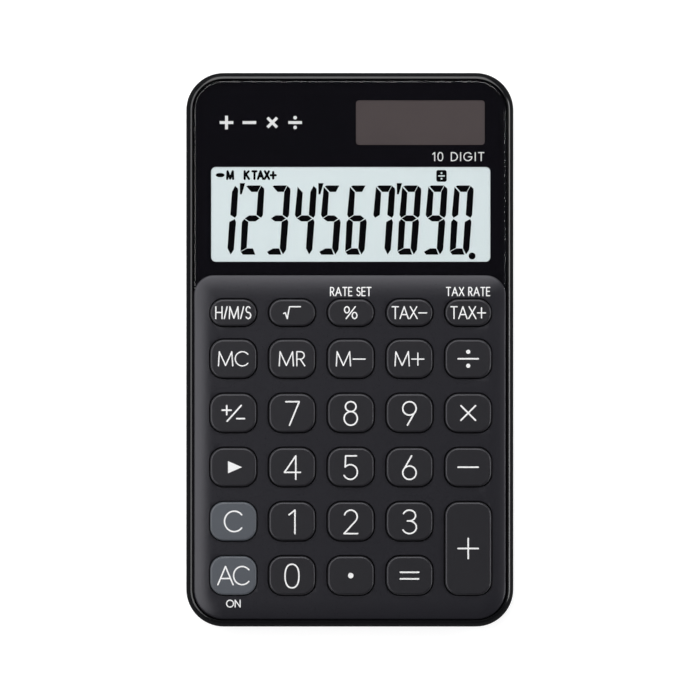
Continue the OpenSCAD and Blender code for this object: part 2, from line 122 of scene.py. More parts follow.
class Shape:
    """Points in millimetres and the faces between them. The methods that close a shape
    return it."""

    def __init__(self):
        self.points = []
        self.faces = []

    def ring(self, outline, z):
        """Adds an outline at a height, which may be a function of x and y."""
        start = len(self.points)
        for x, y in outline:
            self.points.append((x, y, z(x, y) if callable(z) else z))
        return list(range(start, len(self.points)))

    def bridge(self, a, b):
        n = len(a)
        for i in range(n):
            j = (i + 1) % n
            self.faces.append((a[i], a[j], b[j], b[i]))

    def bridges(self, rings):
        for a, b in zip(rings, rings[1:]):
            self.bridge(a, b)

    def loft(self, rings):
        """Joins (outline, height) rings in turn, from the lowest up and outwards."""
        ids = [self.ring(outline, z) for outline, z in rings]
        self.bridges(ids)
        self.faces.append(tuple(reversed(ids[0])))
        self.faces.append(tuple(ids[-1]))
        return self

    def sheet(self, outer, holes=(), extra=(), z=0.0, up=True):
        """Fills an outer ring, less its holes, with triangles through the extra points."""
        rings = [outer, *holes]
        known = [i for ring in rings for i in ring]
        flat = [Vector(self.points[i][:2]) for i in known] + [Vector(p) for p in extra]
        loops, start = [], 0
        for ring in rings:
            loops.append(list(range(start, start + len(ring))))
            start += len(ring)
        verts, _, tris, sources, _, owners = delaunay_2d_cdt(flat, [], loops, 1, 1e-5)
        ids = []
        for vert, source in zip(verts, sources):
            if source and source[0] < len(known):
                ids.append(known[source[0]])
                continue
            x, y = vert
            ids.append(len(self.points))
            self.points.append((x, y, z(x, y) if callable(z) else z))
        for tri, owner in zip(tris, owners):
            if owner != [0]:
                continue
            face = [ids[i] for i in tri]
            self.faces.append(tuple(face if up else reversed(face)))

    def lathe(self, x, y, profile, count=40):
        """Turns (radius, height) points about a vertical axis; a radius of 0 closes it.
        The profile runs from the lowest point outwards and up."""
        rings = []
        for r, z in profile:
            if r == 0:
                self.points.append((x, y, z))
                rings.append([len(self.points) - 1])
            else:
                rings.append(self.ring(circle(x, y, r, count), z))
        for a, b in zip(rings, rings[1:]):
            for i in range(count):
                j = (i + 1) % count
                quad = [a[i % len(a)], a[j % len(a)], b[j % len(b)], b[i % len(b)]]
                face = list(dict.fromkeys(quad))
                if len(face) > 2:
                    self.faces.append(tuple(face))
        return self

    def layer(self, outer, holes, low, high):
        """A flat closed layer with holes through it."""
        lower, upper = (
            [self.ring(outline, z) for outline in (outer, *holes)] for z in (low, high)
        )
        self.bridge(lower[0], upper[0])
        for below, above in zip(lower[1:], upper[1:]):
            self.bridge(above, below)
        self.sheet(upper[0], upper[1:])
        self.sheet(lower[0], lower[1:], up=False)
        return self

    def print_on(self, polygons, low, high):
        """Merges flat polygons, which may overlap, into one thin closed layer."""
        flat, loops = [], []
        for polygon in polygons:
            loops.append(list(range(len(flat), len(flat) + len(polygon))))
            flat += [Vector(p) for p in polygon]
        verts, _, tris, _, _, owners = delaunay_2d_cdt(flat, [], loops, 1, 1e-4)
        tris = [t for t, owner in zip(tris, owners) if owner]
        used = sorted({i for t in tris for i in t})
        outline = [tuple(verts[i]) for i in used]
        upper = dict(zip(used, self.ring(outline, high)))
        lower = dict(zip(used, self.ring(outline, low)))
        edges = {(a, b) for t in tris for a, b in zip(t, [*t[1:], t[0]])}
        for t in tris:
            self.faces.append(tuple(upper[i] for i in t))
            self.faces.append(tuple(lower[i] for i in reversed(t)))
        for a, b in sorted(edges):
            if (b, a) not in edges:
                self.faces.append((lower[a], lower[b], upper[b], upper[a]))
        return self


def prism(outline, low, high):
    return Shape().loft([(outline, low), (outline, high)])


def block(low, high):
    """A plain box, for cutting with."""
    (x0, y0, z0), (x1, y1, z1) = low, high
    return prism([(x0, y0), (x1, y0), (x1, y1), (x0, y1)], z0, z1)


def rod(x, y, r, low, high, count=32):
    return prism(circle(x, y, r, count), low, high)


def new_object(name, shape):
    mesh = bpy.data.meshes.new(name)
    mesh.from_pydata([Vector(p) * MM for p in shape.points], [], shape.faces)
    mesh.validate()
    obj = bpy.data.objects.new(name, mesh)
    bpy.context.scene.collection.objects.link(obj)
    return obj


def combined(obj, shapes, operation):
    """Joins closed shapes to obj, or cuts them from it."""
    others = [new_object("cutter", shape) for shape in shapes]
    for other in others:
        step = obj.modifiers.new("combine", "BOOLEAN")
        step.object = other
        step.operation = operation
        step.solver = "MANIFOLD"
    depsgraph = bpy.context.evaluated_depsgraph_get()
    mesh = bpy.data.meshes.new_from_object(obj.evaluated_get(depsgraph))
    obj.modifiers.clear()
    old, obj.data = obj.data, mesh
    name = old.name
    bpy.data.meshes.remove(old)
    mesh.name = name
    for other in others:
        data = other.data
        bpy.data.objects.remove(other)
        bpy.data.meshes.remove(data)


def finish_piece(obj, material, replaces=(), body="casing"):
    """Shades a piece and ties it to its CAD body, finish and CAD nodes."""
    mesh = obj.data
    mesh.materials.clear()
    mesh.materials.append(material)
    mesh.polygons.foreach_set("use_smooth", [True] * len(mesh.polygons))
    mesh.set_sharp_from_angle(angle=SMOOTH_ANGLE)
    normals = obj.modifiers.new("normals", "WEIGHTED_NORMAL")
    normals.keep_sharp = True
    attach(obj, body)
    if replaces:
        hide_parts(*replaces)
    return obj


def piece(name, shape, material, replaces=(), body="casing"):
    return finish_piece(new_object(name, shape), material, replaces, body)


# ---- Strokes and letters ----


def line_sides(points, width):
    """Left and right sides of a line, offset by half its width at each point, and
    whether the line is closed."""
    half = width / 2
    left, right = [], []
    closed = points[0] == points[-1]
    core = points[:-1] if closed else points
    n = len(core)
    for i, (x, y) in enumerate(core):
        ax, ay = core[i - 1] if closed or i else core[0]
        bx, by = core[(i + 1) % n] if closed or i < n - 1 else core[-1]
        dx, dy = bx - ax, by - ay
        size = math.hypot(dx, dy)
        nx, ny = -dy / size * half, dx / size * half
        left.append((x + nx, y + ny))
        right.append((x - nx, y - ny))
    return left, right, closed


def smooth_runs(points, limit=50):
    """Splits a line where it turns more sharply than the limit in degrees."""
    runs, run = [], [points[0]]
    for i in range(1, len(points)):
        run.append(points[i])
        if i == len(points) - 1:
            break
        (ax, ay), (bx, by), (cx, cy) = points[i - 1 : i + 2]
        turn = math.atan2(cy - by, cx - bx) - math.atan2(by - ay, bx - ax)
        turn = (turn + math.pi) % (2 * math.pi) - math.pi
        if abs(math.degrees(turn)) > limit:
            runs.append(run)
            run = [points[i]]
    runs.append(run)
    return runs


def stroke(points, width):
    """Polygons that cover a line with round ends and corners."""
    polygons = []
    for run in smooth_runs(points):
        left, right, closed = line_sides(run, width)
        n = len(left)
        last = n if closed else n - 1
        for i in range(last):
            j = (i + 1) % n
            polygons.append([right[i], right[j], left[j], left[i]])
        if not closed:
            for x, y in (run[0], run[-1]):
                polygons.append(circle(x, y, width / 2, 12))
    return polygons


def dense(points, step):
    """The same line with points at most a step apart."""
    out = [points[0]]
    for (ax, ay), (bx, by) in zip(points, points[1:]):
        n = max(1, math.ceil(math.hypot(bx - ax, by - ay) / step))
        out += [(ax + (bx - ax) * i / n, ay + (by - ay) * i / n) for i in range(1, n + 1)]
    return out


def oval(x, y, rx, ry, power=2.0, count=36):
    """A closed oval; a power above 2 squares it off."""
    points = []
    for i in range(count + 1):
        a = 2 * math.pi * (i % count) / count
        c, s = math.cos(a), math.sin(a)
        points.append((
            x + rx * math.copysign(abs(c) ** (2 / power), c),
            y + ry * math.copysign(abs(s) ** (2 / power), s),
        ))
    return points


# Each letter: its width, then its lines, where the letter is 1 high
LETTERS = {
    "0": (0.59, [oval(0.295, 0.5, 0.295, 0.5, 2.35)]),
    "1": (0.25, [[(0, 0.8), (0.25, 1), (0.25, 0)]]),
    "2": (0.57, [[*arc(0.285, 0.72, 0.275, 0.28, 163, -43), (0, 0), (0.58, 0)]]),
    "3": (0.58, [
        [*arc(0.285, 0.77, 0.265, 0.23, 160, -90), (0.2, 0.54)],
        [(0.2, 0.54), *arc(0.285, 0.27, 0.3, 0.27, 90, -155)],
    ]),
    "4": (0.68, [[(0.48, 0), (0.48, 1), (0, 0.3), (0.68, 0.3)]]),
    "5": (0.57, [[(0.53, 1), (0.07, 1), *arc(0.27, 0.315, 0.3, 0.315, 138, -152)]]),
    "6": (0.57, [oval(0.285, 0.285, 0.285, 0.285), [(0.375, 1), (0.042, 0.425)]]),
    "7": (0.57, [[(0, 1), (0.57, 1), (0.16, 0)]]),
    "8": (0.56, [oval(0.28, 0.79, 0.225, 0.21), oval(0.28, 0.29, 0.28, 0.29)]),
    "9": (0.57, [oval(0.285, 0.715, 0.285, 0.285), [(0.195, 0), (0.528, 0.575)]]),
    "A": (0.88, [[(0, 0), (0.44, 1), (0.88, 0)], [(0.15, 0.34), (0.73, 0.34)]]),
    "C": (0.9, [arc(0.5, 0.5, 0.5, 0.5, 40, 320, 28)]),
    "D": (0.75, [[(0, 0), (0, 1), *arc(0.25, 0.5, 0.5, 0.5, 90, -90), (0, 0)]]),
    "E": (0.52, [[(0.52, 1), (0, 1), (0, 0), (0.52, 0)], [(0, 0.52), (0.46, 0.52)]]),
    "G": (1.0, [[*arc(0.5, 0.5, 0.5, 0.5, 42, 358, 28), (0.56, 0.48)]]),
    "H": (0.68, [[(0, 0), (0, 1)], [(0.68, 0), (0.68, 1)], [(0, 0.52), (0.68, 0.52)]]),
    "I": (0.0, [[(0, 0), (0, 1)]]),
    "K": (0.6, [[(0, 0), (0, 1)], [(0.55, 1), (0, 0.45)], [(0.17, 0.6), (0.6, 0)]]),
    "M": (1.0, [[(0, 0), (0.06, 1), (0.5, 0.03), (0.94, 1), (1, 0)]]),
    "N": (0.72, [[(0, 0), (0, 1), (0.72, 0), (0.72, 1)]]),
    "O": (1.0, [oval(0.5, 0.5, 0.5, 0.5)]),
    "R": (0.56, [
        [(0, 0), (0, 1), *arc(0.26, 0.74, 0.26, 0.26, 90, -90), (0, 0.48)],
        [(0.24, 0.48), (0.56, 0)],
    ]),
    "S": (0.54, [[
        *arc(0.27, 0.755, 0.235, 0.245, 35, 245, 16),
        *arc(0.27, 0.26, 0.265, 0.26, 65, -150, 16),
    ]]),
    "T": (0.66, [[(0, 1), (0.66, 1)], [(0.33, 1), (0.33, 0)]]),
    "X": (0.76, [[(0, 0), (0.72, 1)], [(0.76, 0), (0.04, 1)]]),
    "%": (1.05, [
        oval(0.2, 0.74, 0.2, 0.26), oval(0.85, 0.26, 0.2, 0.26),
        [(0.14, 0), (0.91, 1)],
    ]),
    "/": (0.32, [[(0, 0), (0.32, 1)]]),
    "+": (0.85, [[(0, 0.48), (0.85, 0.48)], [(0.425, 0.055), (0.425, 0.905)]]),
    "-": (0.85, [[(0, 0.48), (0.85, 0.48)]]),
    "r": (1.42, [[(0, 0.42), (0.14, 0.5), (0.31, 0), (0.5, 1), (1.42, 1)]]),
    " ": (0.25, []),
}


def line_of_text(text, height, width, tracking, squeeze=1.0, centre=(0, 0)):
    """Strokes of a line of text about a centre, height tall over its ink."""
    scale = height - width
    lines, x = [], 0.0
    for letter in text:
        advance, strokes = LETTERS[letter]
        lines += [[(x + px * scale * squeeze, py * scale) for px, py in s] for s in strokes]
        x += advance * scale * squeeze + tracking
    middle = (x - tracking) / 2
    return [
        [(px - middle + centre[0], py - scale / 2 + centre[1]) for px, py in s]
        for s in lines
    ]


def inked(lines, width):
    return [polygon for line in lines for polygon in stroke(line, width)]


# ---- Materials ----


class Nodes:
    """A node material under construction."""

    def __init__(self, name, **inputs):
        self.material = bpy.data.materials.new(name)
        self.material.use_nodes = True
        self.tree = self.material.node_tree
        self.shader = self.tree.nodes["Principled BSDF"]
        for key, value in inputs.items():
            self.shader.inputs[key.replace("_", " ")].default_value = value
        self.place = self.tree.nodes.new("ShaderNodeTexCoord").outputs["Object"]

    def link(self, source, target):
        self.tree.links.new(source, target)

    def node(self, kind, **values):
        made = self.tree.nodes.new("ShaderNode" + kind)
        for key, value in values.items():
            if key in made.inputs:
                made.inputs[key].default_value = value
            else:
                setattr(made, key, value)
        return made

    def noise(self, size_mm, detail=2.0, stretch=(1, 1, 1)):
        """Noise whose features are about size_mm across, with a factor for each axis."""
        mapping = self.node("Mapping", Scale=stretch)
        self.link(self.place, mapping.inputs["Vector"])
        tex = self.node("TexNoise", Scale=1 / (size_mm * MM), Detail=detail)
        self.link(mapping.outputs["Vector"], tex.inputs["Vector"])
        return tex.outputs["Fac"]

    def between(self, value, low, high, from_low=0.3, from_high=0.7):
        """Maps a pattern to a range of numbers."""
        limits = {"From Min": from_low, "From Max": from_high, "To Min": low, "To Max": high}
        node = self.node("MapRange", **limits)
        self.link(value, node.inputs["Value"])
        return node.outputs["Result"]

    def blend(self, value, first, second):
        """A colour pattern between two colours."""
        node = self.node("Mix", data_type="RGBA", A=(*first, 1), B=(*second, 1))
        self.link(value, node.inputs["Factor"])
        return node.outputs[2]

    def bump(self, value, height_mm):
        """Gives the surface a relief of that height."""
        node = self.node("Bump", Strength=1.0, Distance=height_mm * MM)
        self.link(value, node.inputs["Height"])
        self.set("Normal", node.outputs["Normal"])

    def sum(self, operation, *values):
        """A sum on patterns. The result of a subtraction stays within 0 to 1."""
        node = self.node("Math", operation=operation, use_clamp=operation == "SUBTRACT")
        for value, socket in zip(values, node.inputs):
            self.link(value, socket)
        return node.outputs[0]

    def set(self, key, source):
        self.link(source, self.shader.inputs[key])


def tones(colour, low, high):
    """Two shades of a colour."""
    return [tuple(c * factor for c in colour) for factor in (low, high)]


def patterned(name, colours, mottle, sheen, wear, relief, depth_mm, **inputs):
    """A surface with uneven colour, uneven sheen and a fine relief. mottle, wear and
    relief are the noises they follow: each its size, then its detail and stretch."""
    m = Nodes(name, **inputs)
    m.set("Base Color", m.blend(m.noise(*mottle), *colours))
    m.set("Roughness", m.between(m.noise(*wear), *sheen))
    m.bump(m.noise(*relief), depth_mm)
    return m.material


def moulded(name, colour, roughness, grain_mm, grain_height_mm, spread=0.12, **inputs):
    """Moulded plastic: faint mottling, uneven sheen and a fine spark-eroded grain."""
    grain = (grain_mm, 3)
    sheen = (roughness - 0.05, roughness + 0.05)
    colours = tones(colour, 1 - spread, 1 + spread)
    return patterned(name, colours, (6, 3), sheen, grain, grain, grain_height_mm, **inputs)


def back_black(name):
    """Black plastic, polished on the rim and textured on the back and lower sides."""
    m = Nodes(name, Specular_IOR_Level=0.5)
    height = m.node("SeparateXYZ")
    m.link(m.place, height.inputs["Vector"])
    low_part = m.between(height.outputs["Z"], 1, 0, *TEXTURE_FADE)
    m.set("Base Color", m.blend(low_part, (0.0032, 0.0032, 0.004), (0.007, 0.007, 0.0082)))
    grain = m.noise(0.16, 3)
    texture = m.between(grain, 0.22, 0.36)
    polish = m.between(m.noise(0.5, 4, (1, 12, 1)), 0.13, 0.19)
    m.set("Roughness", m.sum("MULTIPLY_ADD", low_part, texture, polish))
    m.bump(m.sum("MULTIPLY", grain, low_part), 0.03)
    return m.material


def ink(name, colour, roughness=0.55, gloss=0.3):
    """Printed ink: slightly uneven coverage. Ink under the panel has no gloss of its own."""
    sheen = (roughness - 0.08, roughness + 0.08)
    return patterned(
        name, tones(colour, 0.93, 1.05), (0.35, 3), sheen, (0.12,), (0.1, 2), 0.003,
        Specular_IOR_Level=gloss,
    )


def metal(name, colour, roughness, stretch=(1, 10, 1)):
    """Bright metal with fine drawing lines."""
    lines = (0.15, 4, stretch)
    sheen = (roughness - 0.08, roughness + 0.1)
    return patterned(
        name, tones(colour, 0.88, 1.08), (2, 3), sheen, lines, lines, 0.002, Metallic=1.0
    )


def rubber(name, colour):
    """Silicone rubber: dull, slightly dusty."""
    return patterned(
        name, tones(colour, 0.92, 1.04), (1.5, 4), (0.6, 0.78), (0.3, 3), (0.2, 3), 0.008,
        Specular_IOR_Level=0.3,
    )


def clear_sheet(name, roughness=0.05):
    """Clear acrylic or glass: a mirror by Fresnel on its outer faces, else clear."""
    m = Nodes(name)
    clear = m.node("BsdfTransparent", Color=(0.995, 0.997, 0.997, 1))
    mirror = m.node("BsdfGlossy", Color=(1, 1, 1, 1))
    fresnel = m.node("Fresnel", IOR=1.49)
    side = m.node("NewGeometry")
    mix = m.node("MixShader")
    haze = m.between(m.noise(4), roughness * 0.7, roughness * 1.3, 0, 1)
    m.link(haze, mirror.inputs["Roughness"])
    outside = m.sum("SUBTRACT", fresnel.outputs["Fac"], side.outputs["Backfacing"])
    m.link(outside, mix.inputs["Fac"])
    m.link(clear.outputs["BSDF"], mix.inputs[1])
    m.link(mirror.outputs["BSDF"], mix.inputs[2])
    m.link(mix.outputs["Shader"], m.tree.nodes["Material Output"].inputs["Surface"])
    m.tree.nodes.remove(m.shader)
    return m.material


def board_laminate(name):
    """Green solder mask over a faint weave of glass cloth."""
    m = Nodes(name, Specular_IOR_Level=0.5)
    weave = m.node("TexWave", Scale=1 / (1.2 * MM), Distortion=1.5)
    m.link(m.place, weave.inputs["Vector"])
    m.set("Base Color", m.blend(weave.outputs["Fac"], (0.018, 0.11, 0.045), (0.024, 0.14, 0.056)))
    m.set("Roughness", m.between(m.noise(0.4, 3), 0.28, 0.42))
    m.bump(weave.outputs["Fac"], 0.006)
    return m.material


TEXTURE_FADE = (3.2 * MM, 4.4 * MM)  # heights between which the casing's texture ends
SHEEN = (0.94, 0.93, 1.0, 1.0)  # a faint blue cast in the keypad's sheen
BACK = back_black("rear_black")
PLATE = moulded(
    "charcoal_plate", (0.0122, 0.0119, 0.0152), 0.32, 0.16, 0.005, 0.08, Specular_Tint=SHEEN
)
KEY = moulded(
    "charcoal_key", (0.0142, 0.0139, 0.0162), 0.34, 0.13, 0.004, 0.06, Specular_Tint=SHEEN
)
CLEAR_KEY = moulded("blue_grey_key", (0.075, 0.083, 0.097), 0.4, 0.13, 0.005, 0.05)
WHITE_INK = ink("white_ink", (0.84, 0.84, 0.84))
PANEL_INK = ink("panel_ink", (0.72, 0.72, 0.72), gloss=0.0)
MASK = ink("black_print", (0.0032, 0.0029, 0.0046), gloss=0.0)
SEGMENT = ink("display_segment", (0.0012, 0.0012, 0.0018), gloss=0.0)
CARBON = ink("carbon_print", (0.015, 0.015, 0.016), 0.7)
LENS = clear_sheet("clear_acrylic")
GLASS = clear_sheet("display_glass", 0.02)
FILM = patterned(
    "display_film", tones((0.655, 0.727, 0.738), 0.975, 1.02), (0.09, 2), (0.5, 0.6),
    (0.2,), (0.12, 2), 0.002, Specular_IOR_Level=0.0,
)
SOLAR = patterned(
    "solar_film", [(0.067, 0.054, 0.055), (0.075, 0.061, 0.061)], (7, 2), (0.3, 0.42),
    (0.6, 3), (0.3,), 0.002, Specular_IOR_Level=0.1,
)
BOARD = board_laminate("board_green")
COPPER = metal("tinned_copper", (0.78, 0.74, 0.66), 0.32)
STEEL = metal("screw_steel", (0.62, 0.62, 0.63), 0.3, (1, 1, 6))
CELL = metal("cell_steel", (0.72, 0.72, 0.72), 0.26, (8, 1, 1))
SPRING = metal("contact_spring", (0.78, 0.66, 0.38), 0.28)
REFLECTOR = metal("reflector_film", (0.8, 0.8, 0.79), 0.5, (1, 1, 1))
MAT = rubber("keypad_rubber", (0.5, 0.5, 0.48))
CONNECTOR = rubber("connector_rubber", (0.62, 0.27, 0.32))
RESIN = moulded("black_resin", (0.008, 0.008, 0.008), 0.3, 0.5, 0.01)
CERAMIC = moulded("chip_ceramic", (0.33, 0.24, 0.14), 0.45, 0.2, 0.006)
HOLDER = moulded("white_plastic", (0.72, 0.72, 0.69), 0.45, 0.25, 0.01, 0.03)
LEAD = moulded("lead_insulation", (0.35, 0.035, 0.02), 0.4, 0.3, 0.006)

CAD_FINISHES = {
    "lcd_polariser": FILM,
    "lcd_front_glass": GLASS,
    "lcd_rear_glass": GLASS,
    "lcd_reflector": REFLECTOR,
    "lcd_connector": CONNECTOR,
    "lcd_holder": HOLDER,
    "main_board": BOARD,
    "chip_blob": RESIN,
    "board_components": CERAMIC,
    "rubber_mat": MAT,
    "solar_cell": SOLAR,
    "solar_leads": LEAD,
    "battery_contact_positive": SPRING,
    "battery_contact_negative": SPRING,
}


def finish_cad_nodes():
    """Gives each CAD node that stays in view its own finish."""
    for node, material in CAD_FINISHES.items():
        mesh = frame["nodes"][node].data
        mesh.materials.clear()
        mesh.materials.append(material)


# ---- Casing ----

CASE_LOW, CASE_HIGH = box_mm("rear_case")
CASE_CORNER_R = 8.0
RIM_W = 1.3  # width of the rim, seen from above
RIM_STEEPEST = math.radians(40)  # tilt of the rim's top at its outer edge
RIM_TURN = 0.45  # how far from its inner edge most of that tilt is reached
RIM_EDGE_R = 0.1
RIM_STEP_IN = 0.03  # a small ease at the rim's inner edge
RIM_TOP = CASE_HIGH.z
FLOOR_T = 1.2
FLOOR_MID = 0.6  # inside the floor's thickness, where posts take root
BACK_EDGE_R = 1.8
BOARD_Z = box_mm("main_board")[0].z
BOARD_TOP = box_mm("main_board")[1].z

# The grid of keys, which the screws stand between
COLUMN_PITCH = 12.55
ROW_PITCH = 11.58
BOTTOM_ROW_Y = -48.25
KEYPAD_X = 0.2
CASE_SCREWS = [
    (0, 55.7), (KEYPAD_X - 1.5 * COLUMN_PITCH, BOTTOM_ROW_Y + 3.5 * ROW_PITCH),
    (KEYPAD_X + 1.5 * COLUMN_PITCH, BOTTOM_ROW_Y + 3.5 * ROW_PITCH),
    (-2 * COLUMN_PITCH, -54.9), (2 * COLUMN_PITCH, -54.9),
]
BOARD_SCREWS = [
    (KEYPAD_X + side * COLUMN_PITCH, BOTTOM_ROW_Y + row * ROW_PITCH)
    for row in (0.5, 2.5) for side in (-0.5, 0.5)
]
BOARD_POSTS = [
    (-29, -31), (29, -31), (-12.55, -31), (12.55, -31), (-29, 20), (29, 20), (-18, 38), (25, 38),
]
CASE_POST_R, BOARD_POST_R = 2, 1.2
CASE_SCREW_BORE_R, BOARD_SCREW_BORE_R = 0.82, 0.57
HEAD_POCKET_R = 1.75
HEAD_SEAT = 0.9
SKIRT_Z = 3.3
CELL_LOW, CELL_HIGH = box_mm("battery_cell")
CELL_X = (CELL_LOW.x + CELL_HIGH.x) / 2
CELL_Y = (CELL_LOW.y + CELL_HIGH.y) / 2
COVER_LOW, COVER_HIGH = box_mm("battery_cover")
COVER_TAB = 1.0
COVER_CORNER_R = 1.5
COVER_SCREW_X = (box_mm("battery_cover_screw")[0].x + box_mm("battery_cover_screw")[1].x) / 2
COVER_SCREW_POST_R, COVER_SCREW_POST_TOP, COVER_SCREW_BORE_R = 1.7, 2.7, 0.62
LABEL_HALF_W, LABEL_HALF_L, LABEL_Y, LABEL_DEPTH = 23, 12, 21, 0.2
BAY_R, BAY_WALL, BAY_TOP = 6.1, 0.9, 3.9  # the wall round the button cell
BAY_PAD_LEFT, BAY_PAD_RIGHT, BAY_PAD_Y, PAD_TOP = 10.5, 3.5, 41, 2.0  # the thick floor there


def rim_crown(count=22):
    """(distance from the inner edge, height) over the rim's top, outwards."""
    reach = RIM_W - RIM_EDGE_R * (1 - math.sin(RIM_STEEPEST))
    full = 1 - math.exp(-reach / RIM_TURN)
    step = (reach - RIM_STEP_IN) / (count - 1)
    points, z = [], RIM_TOP
    for i in range(count):
        across = RIM_STEP_IN + i * step
        points.append((across, z))
        tilt = RIM_STEEPEST * (1 - math.exp(-(across + step / 2) / RIM_TURN)) / full
        z -= step * math.tan(tilt)
    return points


def case_outline(grow):
    return round_rect(CASE_LOW, CASE_HIGH, CASE_CORNER_R, grow, 16)


def tray_shape():
    """The casing's tray, from the back outwards, over the rim and down inside."""
    back_edge = rolled_edge(BACK_EDGE_R, BACK_EDGE_R, 8)
    rings = [(case_outline(-inset), z) for z, inset in back_edge]
    crown = rim_crown()
    low = crown[-1][1]
    for a in spaced(math.pi / 2, RIM_STEEPEST, 5)[:-1]:
        inset = RIM_EDGE_R * (1 - math.sin(a))
        drop = RIM_EDGE_R * (math.cos(RIM_STEEPEST) - math.cos(a))
        rings.append((case_outline(-inset), low - drop))
    rings += [(case_outline(reach - RIM_W), z) for reach, z in reversed(crown)]
    rings.append((case_outline(-RIM_W), RIM_TOP - RIM_STEP_IN))
    rings.append((case_outline(-RIM_W), FLOOR_T))
    return Shape().loft(rings)


def counterbore(x, y):
    """A screw's head pocket with a slightly eased mouth."""
    mouth_r = HEAD_POCKET_R + 0.15
    return Shape().lathe(x, y, [
        (0, -1), (mouth_r, -1), (mouth_r, 0.0), (HEAD_POCKET_R, 0.15),
        (HEAD_POCKET_R, HEAD_SEAT), (0, HEAD_SEAT),
    ])


def cover_outline(grow, steps=8):
    low = (COVER_LOW.x + COVER_TAB, COVER_LOW.y)
    return round_rect(low, COVER_HIGH, COVER_CORNER_R, grow, steps)


def rear_case():
    """The tray with its screw posts, battery bay, cover pocket and label recess."""
    obj = new_object("rear_case_shell", tray_shape())
    bay_low = (CELL_X - BAY_PAD_LEFT, BAY_PAD_Y, FLOOR_T - 0.1)
    bay_high = (COVER_SCREW_X + BAY_PAD_RIGHT, CASE_HIGH.y - RIM_W + 0.05, PAD_TOP)
    added = [rod(x, y, CASE_POST_R, FLOOR_MID, SKIRT_Z) for x, y in CASE_SCREWS]
    added += [rod(x, y, BOARD_POST_R, FLOOR_MID, BOARD_Z, 24) for x, y in BOARD_POSTS]
    added += [
        block(bay_low, bay_high),
        rod(CELL_X, CELL_Y, BAY_R + BAY_WALL, FLOOR_MID, BAY_TOP, 64),
        rod(COVER_SCREW_X, CELL_Y, COVER_SCREW_POST_R, FLOOR_MID, COVER_SCREW_POST_TOP),
    ]
    combined(obj, added, "UNION")
    label = round_rect(
        (-LABEL_HALF_W, LABEL_Y - LABEL_HALF_L), (LABEL_HALF_W, LABEL_Y + LABEL_HALF_L), 1.5, 0, 6
    )
    tab_low, tab_high = (COVER_LOW.x - 0.1, CELL_Y - 2.1, 0.45), (COVER_LOW.x + 2, CELL_Y + 2.1, 1)
    removed = [counterbore(x, y) for x, y in CASE_SCREWS]
    removed += [rod(x, y, CASE_SCREW_BORE_R, 0.5, 5) for x, y in CASE_SCREWS]
    removed += [
        prism(cover_outline(0.1, 6), -1, 1),
        prism(label, -1, LABEL_DEPTH),
        block(tab_low, tab_high),
        rod(CELL_X, CELL_Y, BAY_R, 0, 5, 64),
        block((CELL_X, CELL_Y - 2, PAD_TOP), (CELL_X + 9, CELL_Y + 2, 5)),
        rod(COVER_SCREW_X, CELL_Y, COVER_SCREW_BORE_R, 0, COVER_SCREW_POST_TOP - 0.1),
    ]
    combined(obj, removed, "DIFFERENCE")
    finish_piece(obj, BACK, replaces=["rear_case"])


# ---- Front case ----

FRONT_LOW, FRONT_HIGH = box_mm("front_case")
PLATE_CORNER_R = 6.5  # the lower corners
KEYPAD_CORNER_R = 4.4  # the upper corners
KEYPAD_TOP_Y = 16.1
PLATE_TOP = FRONT_HIGH.z
PLATE_EDGE_TOP = 6.4
PLATE_EDGE_ROUND = 0.38
PLATE_UNDER = 5.2
SLOPE_W = 4.2  # how far the crown's slope reaches in from the plate's edge
TOP_SLOPE_W = 5.6  # the same along the upper edge
SLOPE_INSETS = (0.8, 1.2, 1.7, 2.3, 2.9, 3.5, 4.1, 4.4, 4.9, 5.4, 5.8)
LIP_D = 3.6  # the panel reaches this far under the plate's upper edge
LIP_Z = 6.35
STEP_Y = KEYPAD_TOP_Y - LIP_D
SHELF_T = 0.5
SKIRT_T = 1.0
KEY_GAP = 0.17
HOLE_ROUND = 0.2
WINDOW_CLEARANCE = 0.2


def depth_in_plate(x, y):
    """Distance from the keypad plate's outline, inwards."""
    mid_y = (FRONT_LOW.y + KEYPAD_TOP_Y) / 2
    r = KEYPAD_CORNER_R if y > mid_y else PLATE_CORNER_R
    dx = abs(x) - (FRONT_HIGH.x - r)
    dy = abs(y - mid_y) - (KEYPAD_TOP_Y - mid_y - r)
    outside = math.hypot(max(dx, 0), max(dy, 0))
    return r - outside - min(max(dx, dy), 0)


def plate_height(x, y):
    """Height of the plate's top, which falls away towards its edges."""
    near_top = min(1.0, max(0.0, (y - KEYPAD_TOP_Y + 12) / 7))
    slope_w = SLOPE_W + (TOP_SLOPE_W - SLOPE_W) * near_top * near_top * (3 - 2 * near_top)
    rise = 1 - min(1.0, max(0.0, depth_in_plate(x, y)) / slope_w)
    return PLATE_TOP - (PLATE_TOP - PLATE_EDGE_TOP) * rise * rise


def plate_outline(grow=0.0):
    radii = [KEYPAD_CORNER_R, KEYPAD_CORNER_R, PLATE_CORNER_R, PLATE_CORNER_R]
    return round_rect(FRONT_LOW, (FRONT_HIGH.x, KEYPAD_TOP_Y), radii, grow, 16)


def lowered(height, drop):
    """A height function moved down."""
    return lambda x, y: height(x, y) - drop


def shrunk(outline, inset):
    """An outline moved inwards along its normals."""
    if inset == 0:
        return list(outline)
    return line_sides([*outline, outline[0]], 2 * inset)[0]


